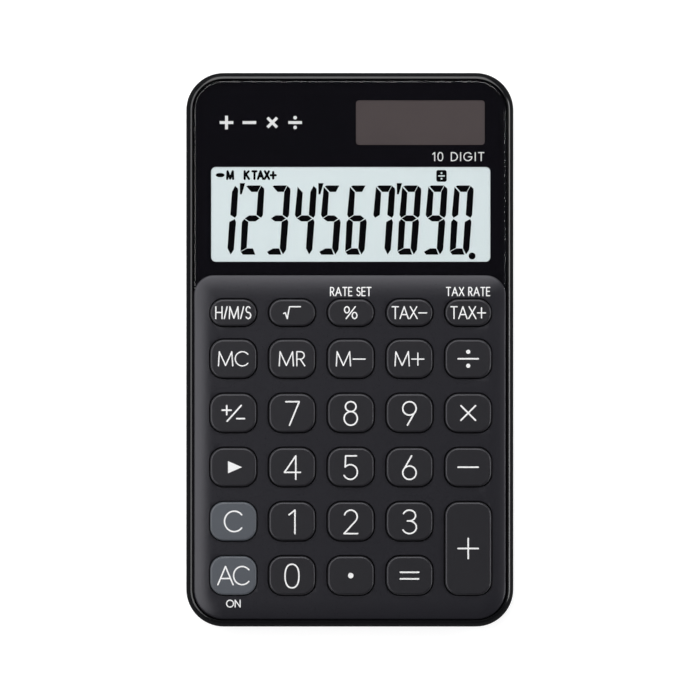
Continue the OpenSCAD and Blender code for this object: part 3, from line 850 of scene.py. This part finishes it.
def keypad_shape():
    """The crowned keypad plate before its holes are cut."""
    shape = Shape()
    edge = plate_outline()
    outer = dense([*edge, edge[0]], 1.6)[:-1]
    rings = [shape.ring(outer, PLATE_UNDER)]
    for inset, drop in rolled_edge(PLATE_EDGE_ROUND, PLATE_EDGE_ROUND, 6):
        rings.append(shape.ring(shrunk(outer, inset), lowered(plate_height, drop)))
    shape.bridges(rings)
    extra = [point for inset in SLOPE_INSETS for point in shrunk(outer, inset)]
    shape.sheet(rings[-1], (), extra, plate_height)
    shape.sheet(rings[0], (), (), PLATE_UNDER, up=False)
    return shape


def hole_cutter(low, high, corner_r):
    """A key's hole, opening out at the top along a round edge."""
    top = plate_height((low[0] + high[0]) / 2, (low[1] + high[1]) / 2)
    steps = [(inset, top - drop) for inset, drop in rolled_edge(HOLE_ROUND, HOLE_ROUND, 5)]
    steps[-1] = (steps[-1][0], top + 0.002)
    steps = [(0, PLATE_UNDER - 1), *steps, (HOLE_ROUND, top + 1)]
    return Shape().loft([
        (round_rect(low, high, corner_r, KEY_GAP + grow), z) for grow, z in steps
    ])


FLANGE = 0.6  # width of a key's flange, round its cap
KEY_R = 2.9
FUNCTION_KEY_R = 2.8
FUNCTION_KEYS = ["hours", "root", "percent", "tax_minus", "tax_plus"]
CLEAR_KEYS = ["clear", "all_clear"]
KEY_NAMES = sorted(
    body.removeprefix("key_") for body in frame["bodies"] if body.startswith("key_")
)


def key_box(name):
    """Lowest and highest corner of a key's cap, without its flange."""
    low, high = box_mm("key_" + name)
    inset = Vector((FLANGE, FLANGE, 0))
    return low + inset, high - inset


def key_centre(name):
    low, high = key_box(name)
    return (low.x + high.x) / 2, (low.y + high.y) / 2


def key_corner(name):
    return FUNCTION_KEY_R if name in FUNCTION_KEYS else KEY_R


FILM_LOW, FILM_HIGH = box_mm("lcd_polariser")
FILM_OVER = 0.7
WINDOW_LOW = (FILM_LOW.x + FILM_OVER, FILM_LOW.y + FILM_OVER)
WINDOW_HIGH = (FILM_HIGH.x - FILM_OVER, FILM_HIGH.y - FILM_OVER)
SOLAR_LOW, SOLAR_HIGH = box_mm("solar_cell")
SOLAR_OVER = 0.4
SOLAR_WINDOW_LOW = (SOLAR_LOW.x + SOLAR_OVER, SOLAR_LOW.y + SOLAR_OVER)
SOLAR_WINDOW_HIGH = (SOLAR_HIGH.x - SOLAR_OVER, SOLAR_HIGH.y - SOLAR_OVER)


def shelf_shape():
    """The sheet that the display panel is stuck to."""
    radii = [PLATE_CORNER_R, PLATE_CORNER_R, 0.1, 0.1]
    outline = round_rect((FRONT_LOW.x, STEP_Y - 0.9), FRONT_HIGH, radii)
    return prism(outline, PLATE_UNDER - SHELF_T, PLATE_UNDER)


def skirt_shape():
    """The wall round the underside."""
    shape = Shape()
    outer = round_rect(FRONT_LOW, FRONT_HIGH, PLATE_CORNER_R)
    inner = round_rect(FRONT_LOW, FRONT_HIGH, PLATE_CORNER_R, -SKIRT_T)
    high = PLATE_UNDER + 0.005
    section = ((inner, SKIRT_Z), (outer, SKIRT_Z), (outer, high), (inner, high))
    rings = [shape.ring(outline, z) for outline, z in section]
    shape.bridges([*rings, rings[0]])
    return shape


def front_case():
    """The plate with its key holes, on the skirt, shelf and screw posts."""
    obj = new_object("front_plate", keypad_shape())
    wide = FRONT_HIGH.x + 1
    combined(obj, [block((-wide, STEP_Y, 4), (wide, KEYPAD_TOP_Y + 1, LIP_Z))], "DIFFERENCE")
    added = [shelf_shape(), skirt_shape()]
    added += [rod(x, y, 1.7, SKIRT_Z, PLATE_UNDER + 0.01) for x, y in CASE_SCREWS]
    added += [rod(x, y, 1.5, BOARD_TOP, PLATE_UNDER + 0.01) for x, y in BOARD_SCREWS]
    combined(obj, added, "UNION")
    removed = [hole_cutter(*key_box(name), key_corner(name)) for name in KEY_NAMES]
    room = Vector((WINDOW_CLEARANCE, WINDOW_CLEARANCE, 0))
    for low, high in (box_mm("lcd_front_glass"), (SOLAR_LOW, SOLAR_HIGH)):
        (x0, y0, _), (x1, y1, _) = low - room, high + room
        removed.append(block((x0, y0, 4), (x1, y1, 6)))
    removed += [rod(x, y, CASE_SCREW_BORE_R, 2, 4.9, 24) for x, y in CASE_SCREWS]
    removed += [rod(x, y, BOARD_SCREW_BORE_R, 2, 4.4, 24) for x, y in BOARD_SCREWS]
    combined(obj, removed, "DIFFERENCE")
    finish_piece(obj, PLATE, replaces=["front_case"])


def plate_print():
    """Labels printed on the keypad plate over and under three keys."""
    width = 0.24
    percent, tax, clear = (key_box(n) for n in ("percent", "tax_plus", "all_clear"))
    above, below = 1.65, 1.9
    labels = [
        ("RATE SET", percent, percent[1].y + above, 2.0, 0.76),
        ("TAX RATE", tax, tax[1].y + above, 2.0, 0.74),
        ("ON", clear, clear[0].y - below, 1.72, 1.0),
    ]
    polygons = []
    for text, (low, high), y, height, squeeze in labels:
        centre = ((low.x + high.x) / 2, y)
        lines = line_of_text(text, height, width, 0.36, squeeze, centre)
        polygons += inked([dense(line, 0.35) for line in lines], width)
    low, high = lowered(plate_height, 0.02), lowered(plate_height, -0.012)
    piece("plate_labels", Shape().print_on(polygons, low, high), WHITE_INK)


# ---- Display panel ----

LENS_LOW, LENS_HIGH = box_mm("display_lens")
MASK_LOW, MASK_HIGH = box_mm("lens_mask")
LENS_EDGE_R = 0.55
FIRST_SIGN_X = -26.4
SIGN_PITCH = 4.9
DIGIT_COUNT_Y = 41.35


def panel_outline(grow):
    radii = [PLATE_CORNER_R, PLATE_CORNER_R, 0.4, 0.4]
    return round_rect(LENS_LOW, LENS_HIGH, radii, grow, 16)


def display_panel():
    rings = [(panel_outline(-0.05), LENS_LOW.z), (panel_outline(0), LENS_LOW.z + 0.06)]
    for inset, drop in rolled_edge(LENS_EDGE_R, LENS_EDGE_R, 7):
        rings.append((panel_outline(-inset), LENS_HIGH.z - drop))
    panel = Shape().loft(rings)
    piece("display_panel", panel, LENS, replaces=["display_lens"])


def panel_mask():
    """The black print behind the panel, with its two windows."""
    windows = [
        round_rect(WINDOW_LOW, WINDOW_HIGH, 1.0, 0, 8),
        round_rect(SOLAR_WINDOW_LOW, SOLAR_WINDOW_HIGH, 0.7, 0, 6),
    ]
    mask = Shape().layer(panel_outline(-0.05), windows, MASK_LOW.z, MASK_HIGH.z - 0.03)
    piece("panel_mask", mask, MASK, replaces=["lens_mask"])


def panel_print():
    """White print on the panel's back: a row of generic signs and a plain digit count."""
    y = (SOLAR_WINDOW_LOW[1] + SOLAR_WINDOW_HIGH[1]) / 2
    polygons = []
    for i, sign in enumerate("+-x/"):
        polygons += sign_polygons(sign, FIRST_SIGN_X + i * SIGN_PITCH, y, 2.9, 0.62)
    width = 0.22
    text = line_of_text("10 DIGIT", 1.95, width, 0.7)
    right = max(px for line in text for px, _ in line)
    shift = SOLAR_WINDOW_HIGH[0] - 0.2 - right
    polygons += inked(
        [[(px + shift, py + DIGIT_COUNT_Y) for px, py in line] for line in text], width
    )
    low, high = MASK_HIGH.z - 0.032, MASK_HIGH.z - 0.004
    piece("panel_print", Shape().print_on(polygons, low, high), PANEL_INK)


def bar_polygon(x, y, half_length, half_width, angle):
    c, s = math.cos(math.radians(angle)), math.sin(math.radians(angle))
    corners = [(u * half_length, v * half_width) for u, v in ((-1, -1), (1, -1), (1, 1), (-1, 1))]
    return [(x + u * c - v * s, y + u * s + v * c) for u, v in corners]


def sign_polygons(sign, x, y, size, bar):
    """A bold arithmetic sign, with / for the divide sign."""
    half, thick = size / 2, bar / 2
    angles = {"+": (0, 90), "-": (0,), "x": (45, -45), "/": (0,)}[sign]
    polygons = [bar_polygon(x, y, half, thick, angle) for angle in angles]
    if sign == "/":
        polygons += [circle(x, y + side * size * 0.36, bar * 0.62, 20) for side in (-1, 1)]
    return polygons


# ---- Display digits ----

DIGIT_W = 4.38
DIGIT_H = 14.82
DIGIT_PITCH = 5.602
DIGIT_BASE_Y = 20.36
FIRST_DIGIT_X = -29.24
SLANT = math.tan(math.radians(4.5))
UPRIGHT_W = 1.44
CROSS_W = 1.38
JOINT = 0.065  # half the gap between two segments
MID_Y = DIGIT_H * 0.524
PRINT_LOW, PRINT_HIGH = FILM_HIGH.z - 0.005, FILM_HIGH.z + 0.012
POINT_R = 0.74
ANNUNCIATOR_Y = 37.4
MINUS_X = -27.77
# Each lettered sign: its text, then its middle, tracking and squeeze
ANNUNCIATORS = [("M", -25.62, 0.4, 0.78), ("K", -22.05, 0.4, 0.95), ("TAX+", -18.35, 0.33, 0.78)]
BOX_LOW, BOX_HIGH = (18.53, 35.97), (20.75, 38.48)


def segments():
    """The seven segments of an upright digit, as polygons from its lower left corner."""
    w, h, u, c, j, m = DIGIT_W, DIGIT_H, UPRIGHT_W, CROSS_W, JOINT, MID_Y
    half = c / 2
    return {
        "a": [(u + j, h - c), (w - u - 2 * j, h - c), (w - 0.95, h), (0.72, h), (0.34, h - 0.2)],
        "b": [(w - u, h - c), (w - u + 0.04, m + half + j), (w - 0.36, m + 2 * j),
              (w - 0.02, m + half), (w - 0.12, h - 1.1), (w - 0.22, h - 0.65), (w - 0.86, h - 0.08)],
        "c": [(w - u, c), (w - 0.66, 0.04), (w - 0.06, 1.05), (w - 0.06, m - half - j),
              (w - 0.38, m - 2 * j), (w - u - 0.06, m - half - j)],
        "d": [(0.76, 0), (w - 0.98, 0), (w - u - 2 * j, c - 0.04), (u + j, c - 0.04), (0.24, 0.62)],
        "e": [(0.17, 0.74), (u, c + 0.06), (u - 0.08, m - half - j), (0.44, m - 2 * j),
              (-0.03, m - half - j)],
        "f": [(0.0, m + half + j), (0.42, m + 2 * j), (u - 0.06, m + half + j),
              (u - 0.14, h - c - 0.14), (0.1, h - 0.3)],
        "g": [(0.52, m), (u, m - half + 0.05), (w - u - j, m - half + 0.05), (w - 0.66, m),
              (w - u - j, m + half - 0.05), (u, m + half - 0.05)],
    }


SEGMENTS_ON = {
    "0": "abcdef", "1": "bc", "2": "abged", "3": "abgcd", "4": "fgbc",
    "5": "afgcd", "6": "afgedc", "7": "abcf", "8": "abcdefg", "9": "abcdfg",
}


def slanted(points, x, y):
    return [(x + px + py * SLANT, y + py) for px, py in points]


def display_digits():
    """A sample number in the display, with its separators, point and small signs."""
    polygons = []
    shapes = segments()
    for i, digit in enumerate("1234567890"):
        x = FIRST_DIGIT_X + i * DIGIT_PITCH
        polygons += [slanted(shapes[s], x, DIGIT_BASE_Y) for s in SEGMENTS_ON[digit]]
        if digit in "147":
            x0, top = DIGIT_W + 0.1, DIGIT_H + 0.5
            mark = [(x0, top), (x0 + 0.22, top - 2.4), (x0 + 0.62, top - 2.4), (x0 + 1.14, top)]
            polygons.append(slanted(mark, x, DIGIT_BASE_Y))
    point_x = FIRST_DIGIT_X + 10 * DIGIT_PITCH - 0.6
    polygons.append(circle(point_x, DIGIT_BASE_Y - 0.28, POINT_R, 24))
    polygons += annunciators()
    piece("display_segments", Shape().print_on(polygons, PRINT_LOW, PRINT_HIGH), SEGMENT)


def annunciators():
    """The small signs over the digits: a minus, then the letters."""
    height, width = 2.1, 0.48
    polygons = [arc(MINUS_X, ANNUNCIATOR_Y, 0.96, 0.46, 0, 345, 24)]
    for text, x, tracking, squeeze in ANNUNCIATORS:
        centre = (x, ANNUNCIATOR_Y)
        polygons += inked(line_of_text(text, height, width, tracking, squeeze, centre), width)
    return polygons


def boxed_sign():
    """Dark box with a light divide sign, in the display's upper right."""
    x, y = (BOX_LOW[0] + BOX_HIGH[0]) / 2, (BOX_LOW[1] + BOX_HIGH[1]) / 2
    holes = [
        bar_polygon(x, y, 0.7, 0.14, 0),
        circle(x, y + 0.6, 0.2, 16),
        circle(x, y - 0.6, 0.2, 16),
    ]
    box = round_rect(BOX_LOW, BOX_HIGH, 0.45, 0, 6)
    piece("display_box_sign", Shape().layer(box, holes, PRINT_LOW, PRINT_HIGH), SEGMENT)


# ---- Keys ----

KEY_EDGE_R = 0.5
KEY_EDGE_DROP = 0.36
KEY_WALL = 0.9
KEY_ROOF = 1.0
FLANGE_T = 0.5
PLUNGER_R = 1.8
INK_T = 0.014


def key_shape(name):
    """A hollow cap with a flange below the plate and a plunger on its dome."""
    low, high = key_box(name)
    x, y = key_centre(name)
    flange_z = low.z + 0.1
    flange_top = flange_z + FLANGE_T
    top = high.z - INK_T
    roof = high.z - KEY_ROOF
    section = [
        (-KEY_WALL, roof), (-KEY_WALL, flange_z), (FLANGE - 0.08, flange_z),
        (FLANGE, flange_z + 0.08), (FLANGE, flange_top - 0.08), (FLANGE - 0.08, flange_top),
        (0, flange_top),
    ]
    for inset, drop in rolled_edge(KEY_EDGE_R, KEY_EDGE_DROP, 11):
        section.append((-inset, top - drop))
    shape = Shape()
    rings = [
        shape.ring(round_rect(low, high, key_corner(name), grow), z) for grow, z in section
    ]
    shape.bridges(rings)
    shape.faces.append(tuple(rings[-1]))
    plunger = circle(x, y, PLUNGER_R)
    mouth = shape.ring(plunger, roof)
    shape.sheet(rings[0], [mouth], (), roof, up=False)
    collar = shape.ring(plunger, low.z + 0.15)
    foot = shape.ring(circle(x, y, PLUNGER_R - 0.15), low.z)
    shape.bridge(collar, mouth)
    shape.bridge(foot, collar)
    shape.faces.append(tuple(reversed(foot)))
    return shape


# Each lettered key: its text, then the text's height, stroke width, tracking and squeeze
LEGENDS = {
    "hours": ("H/M/S", 2.8, 0.265, 0.47, 0.77),
    "root": ("r", 2.8, 0.265, 0, 1.0),
    "percent": ("%", 2.8, 0.265, 0, 1.0),
    "tax_minus": ("TAX-", 2.8, 0.265, 0.34, 0.8),
    "tax_plus": ("TAX+", 2.8, 0.265, 0.34, 0.8),
    "memory_clear": ("MC", 3.3, 0.262, 0.55, 1.0),
    "memory_recall": ("MR", 3.3, 0.262, 0.72, 1.0),
    "memory_minus": ("M-", 3.3, 0.262, 0.55, 1.0),
    "memory_plus": ("M+", 3.3, 0.262, 0.55, 1.0),
    "clear": ("C", 4.7, 0.32, 0, 0.95),
    "all_clear": ("AC", 4.2, 0.31, 0.1, 0.95),
}
LEGENDS.update({digit: (digit, 5.35, 0.325, 0, 1.0) for digit in "0123456789"})
LEGEND_SHIFTS = {digit: (0.0, -0.1) for digit in "01235689"}
LEGEND_SHIFTS.update({"4": (0.1, -0.1), "7": (0.1, -0.1), "all_clear": (0.05, 0.0)})
SIGN_STROKE = 0.34


def legend_polygons(name, x, y):
    """The polygons of a key's legend, about a point."""
    if name in LEGENDS:
        text, height, width, tracking, squeeze = LEGENDS[name]
        dx, dy = LEGEND_SHIFTS.get(name, (0, 0))
        centre = (x + dx, y + dy)
        return inked(line_of_text(text, height, width, tracking, squeeze, centre), width)
    if name == "shift":
        return [[(x - 1.12, y - 1.3), (x + 1.88, y), (x - 1.12, y + 1.3)]]
    if name == "point":
        return [circle(x, y, 0.58, 32)]
    return sign_legend(name, x, y)


def sign_legend(name, x, y):
    """Legends drawn from straight bars: the operators, equals and the sign key."""
    arm, width = 2.15, SIGN_STROKE
    across = [(x - arm, y), (x + arm, y)]
    if name == "subtract":
        return inked([across], width)
    if name == "add":
        return inked([across, [(x, y - arm), (x, y + arm)]], width)
    if name == "multiply":
        d = 1.55
        return inked([[(x - d, y - s * d), (x + d, y + s * d)] for s in (1, -1)], width)
    if name == "divide":
        return inked([across], width) + [circle(x, y + s * 1.49, 0.45, 24) for s in (-1, 1)]
    if name == "equals":
        return inked([[(x - 1.95, y + s * 0.7), (x + 1.95, y + s * 0.7)] for s in (-1, 1)], width)
    plus_x, plus_y, small = x - 1.4, y + 0.6, 0.95
    lines = [
        [(plus_x - small, plus_y), (plus_x + small, plus_y)],
        [(plus_x, plus_y - small), (plus_x, plus_y + small)],
        [(x - 1.3, y - 1.75), (x + 1.7, y + 1.6)],
        [(x + 0.75, y - 1.2), (x + 2.4, y - 1.2)],
    ]
    return inked(lines, width)


def keys():
    """Each key's cap and its printed legend."""
    for name in KEY_NAMES:
        node = "key_" + name
        material, slot = KEY, "charcoal_key"
        if name in CLEAR_KEYS:
            material, slot = CLEAR_KEY, "clear_key"
        piece("keycap_" + name, key_shape(name), material, [node], node)
        face = key_box(name)[1].z
        polygons = legend_polygons(name, *key_centre(name))
        legend = Shape().print_on(polygons, face - INK_T - 0.01, face)
        piece("legend_" + name, legend, WHITE_INK, body=node)


# ---- Rubber domes ----

WEB_TOP = box_mm("rubber_mat")[1].z
DOME_TOP = box_mm("rubber_domes")[1].z


def dome_profile():
    """Half section of a dome: thin skirt, solid top and a contact pill inside."""
    top = DOME_TOP
    return [
        (0, top - 0.9), (1.25, top - 0.9), (1.4, top - 0.82), (1.4, top - 0.5),
        (1.62, top - 0.5), (2.2, WEB_TOP), (2.8, WEB_TOP), (2.62, WEB_TOP + 0.12),
        (2.1, top - 0.12), (1.95, top - 0.03), (1.8, top), (0, top),
    ]


def domes():
    """A dome under each key, squashed by its key. The first stands for the CAD's domes."""
    replaced = ["rubber_domes"]
    for name in KEY_NAMES:
        x, y = key_centre(name)
        dome = Shape().lathe(x, y, dome_profile(), 36)
        obj = piece("dome_" + name, dome, MAT, replaces=replaced)
        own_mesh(obj)
        replaced = ()


# ---- Inside ----


PAD_R = 1.9
TRACK_COUNT = 12


def board_print():
    """Carbon key contacts on the board, and tinned tracks under it."""
    halves = []
    for name in KEY_NAMES:
        x, y = key_centre(name)
        halves += [arc(x, y, PAD_R, PAD_R, side - 83, side + 83, 16) for side in (0, 180)]
    pads = Shape().print_on(halves, BOARD_TOP - 0.01, BOARD_TOP + 0.02)
    piece("board_contacts", pads, CARBON)
    tracks = Shape()
    for i in range(TRACK_COUNT):
        x = -16 + i * 3.1
        chip_x = 4 + (i - 6) * 0.75
        track = [(x, -50 + i), (x, 10 - 0.4 * i), (chip_x, 18), (chip_x, 22.4)]
        tracks.print_on(stroke(track, 0.3), BOARD_Z - 0.02, BOARD_Z + 0.01)
    piece("board_tracks", tracks, COPPER)


def screw_shape(x, y, head_r, low, head_t, thread_r, top):
    """A pan-headed screw on its head, thread up, with rolled threads."""
    seat = low + head_t
    core_r = thread_r * 0.84
    pitch = thread_r * 0.75
    profile = [
        (0, low), (head_r * 0.72, low + 0.01), (head_r * 0.93, low + head_t * 0.25),
        (head_r, low + head_t * 0.55), (head_r, seat), (core_r, seat),
    ]
    z = seat + pitch * 0.4
    while z < top - pitch:
        profile += [(core_r, z), (thread_r, z + pitch * 0.45), (core_r, z + pitch * 0.9)]
        z += pitch
    profile += [(thread_r * 0.5, top), (0, top)]
    return Shape().lathe(x, y, profile, 28)


def slot_shape(x, y, half_w, half_l, low, depth):
    """One arm of a cross slot, which narrows inwards."""
    rings = []
    for size, z in ((1.1, low - 0.3), (1, low), (0.55, low + depth)):
        reach = (half_w * size, half_l * size)
        near, far = (x - reach[0], y - reach[1]), (x + reach[0], y + reach[1])
        rings.append((round_rect(near, far, 0.02, 0, 2), z))
    return Shape().loft(rings)


def screws(name, node, places, head_r, head_t, thread_r):
    """Cross-headed screws, a piece each. The first stands for the CAD's whole set."""
    low, top = (corner.z for corner in box_mm(node))
    for i, (x, y) in enumerate(places):
        obj = new_object(f"{name}_{i + 1}", screw_shape(x, y, head_r, low, head_t, thread_r, top))
        wide, narrow, depth = head_r * 0.62, head_r * 0.15, head_t * 0.75
        slots = [slot_shape(x, y, *arm, low, depth) for arm in ((wide, narrow), (narrow, wide))]
        combined(obj, slots, "DIFFERENCE")
        finish_piece(obj, STEEL, replaces=[node] if i == 0 else ())


def all_screws():
    """Each set with its head's radius and thickness and its thread's radius."""
    screws("case_screw", "case_screws", CASE_SCREWS, 1.5, 0.75, 0.8)
    screws("board_screw", "board_screws", BOARD_SCREWS, 1.3, 0.6, 0.55)
    screws("cover_screw", "battery_cover_screw", [(COVER_SCREW_X, CELL_Y)], 1.3, 0.4, 0.6)


GRIP_GROOVES = 6
FIRST_GROOVE_X = -25.6
GROOVE_PITCH = 1.0


def battery_cover():
    """The cover with its tab, screw hole and a grooved thumb grip."""
    low, high = COVER_LOW.z, COVER_HIGH.z
    plate = Shape().loft([
        (cover_outline(-0.15), low), (cover_outline(0), low + 0.15), (cover_outline(0), high)
    ])
    obj = new_object("battery_cover_plate", plate)
    tab_low = (COVER_LOW.x, CELL_Y - 2, high - 0.35)
    tab_high = (COVER_LOW.x + 3, CELL_Y + 2, high - 0.001)
    combined(obj, [block(tab_low, tab_high)], "UNION")
    removed = [
        rod(COVER_SCREW_X, CELL_Y, 1.45, -1, low + 0.45),
        rod(COVER_SCREW_X, CELL_Y, 0.7, -1, 2),
    ]
    for i in range(GRIP_GROOVES):
        x = FIRST_GROOVE_X + i * GROOVE_PITCH
        groove = round_rect((x - 0.25, CELL_Y - 4), (x + 0.25, CELL_Y + 4), 0.24, 0, 4)
        removed.append(prism(groove, -1, low + 0.22))
    combined(obj, removed, "DIFFERENCE")
    finish_piece(obj, BACK, replaces=["battery_cover"])


def coin_cell():
    """The button cell: can with a rolled edge, seal and cap."""
    low, high = CELL_LOW.z, CELL_HIGH.z
    r = (CELL_HIGH.x - CELL_LOW.x) / 2
    can = Shape().lathe(CELL_X, CELL_Y, [
        (0, low), (r - 0.5, low), (r - 0.15, low + 0.12), (r, low + 0.45), (r, high - 0.75),
        (r - 0.12, high - 0.48), (r - 0.5, high - 0.4), (r - 1.1, high - 0.4), (0, high - 0.4),
    ], 64)
    piece("cell_can", can, CELL, replaces=["battery_cell"])
    cap_r = r - 1.25
    cap = Shape().lathe(CELL_X, CELL_Y, [
        (0, high - 0.42), (cap_r, high - 0.42), (cap_r, high - 0.1), (r - 1.4, high), (0, high),
    ], 64)
    piece("cell_cap", cap, CELL)


# ---- Scene ----

FRAME_W = 149.73  # width of the view at the height of the rim
CAMERA_X, CAMERA_Y = 0.043, -0.053
CAMERA_LENS = 300
SENSOR = 36
LIGHT_Z = 0.7  # metres, as are the lights' corners
FLOOR_HALF = 6000


def camera():
    data = bpy.data.cameras.new("camera")
    data.lens = CAMERA_LENS
    data.sensor_width = SENSOR
    data.clip_end = 20
    obj = bpy.data.objects.new("camera", data)
    bpy.context.scene.collection.objects.link(obj)
    distance = CAMERA_LENS / SENSOR * FRAME_W
    obj.location = Vector((CAMERA_X, CAMERA_Y, RIM_TOP + distance)) * MM
    bpy.context.scene.camera = obj


def softbox(name, low, high, radiance):
    """A level rectangular light over the object, from its low to its high corner."""
    (x0, y0), (x1, y1) = low, high
    data = bpy.data.lights.new(name, "AREA")
    data.shape = "RECTANGLE"
    data.size = x1 - x0
    data.size_y = y1 - y0
    data.energy = radiance * math.pi * data.size * data.size_y
    obj = bpy.data.objects.new(name, data)
    obj.location = ((x0 + x1) / 2, (y0 + y1) / 2, LIGHT_Z)
    bpy.context.scene.collection.objects.link(obj)


def floor():
    """A wide pale floor, bright enough to stay white in the view."""
    outline = round_rect((-FLOOR_HALF, -FLOOR_HALF), (FLOOR_HALF, FLOOR_HALF), 100)
    obj = new_object("floor", prism(outline, -3, -0.01))
    white = Nodes(
        "floor_white", Base_Color=(0.5, 0.5, 0.5, 1), Roughness=0.9,
        Emission_Color=(1, 1, 1, 1), Emission_Strength=0.75,
    )
    obj.data.materials.append(white.material)


def studio_world():
    """A dim studio: pale walls low down and a nearly dark ceiling."""
    world = bpy.data.worlds.new("studio")
    world.use_nodes = True
    tree = world.node_tree
    back = tree.nodes["Background"]
    back.inputs["Color"].default_value = (0.95, 0.96, 1, 1)
    place = tree.nodes.new("ShaderNodeTexCoord")
    height = tree.nodes.new("ShaderNodeSeparateXYZ")
    fall = tree.nodes.new("ShaderNodeMapRange")
    for key, number in (("From Min", 0.0), ("From Max", 0.6), ("To Min", 0.27), ("To Max", 0.05)):
        fall.inputs[key].default_value = number
    tree.links.new(place.outputs["Generated"], height.inputs["Vector"])
    tree.links.new(height.outputs["Z"], fall.inputs["Value"])
    tree.links.new(fall.outputs["Result"], back.inputs["Strength"])
    return world


def lights():
    softbox("left_softbox", (-0.84, -0.5), (-0.25, 0.55), 2.95)
    softbox("top_softbox", (-0.5, 0.27), (0.4, 1.25), 3.4)
    softbox("right_strip", (0.83, -0.4), (1.2, 0.4), 9.0)
    scene = bpy.context.scene
    scene.world = studio_world()
    scene.view_settings.view_transform = "Standard"
    scene.cycles.transparent_max_bounces = 16


for step in (
    finish_cad_nodes, rear_case, front_case, plate_print, display_panel, panel_mask, panel_print,
    display_digits, boxed_sign, keys, domes, board_print, all_screws, battery_cover, coin_cell,
    floor, camera, lights,
):
    step()
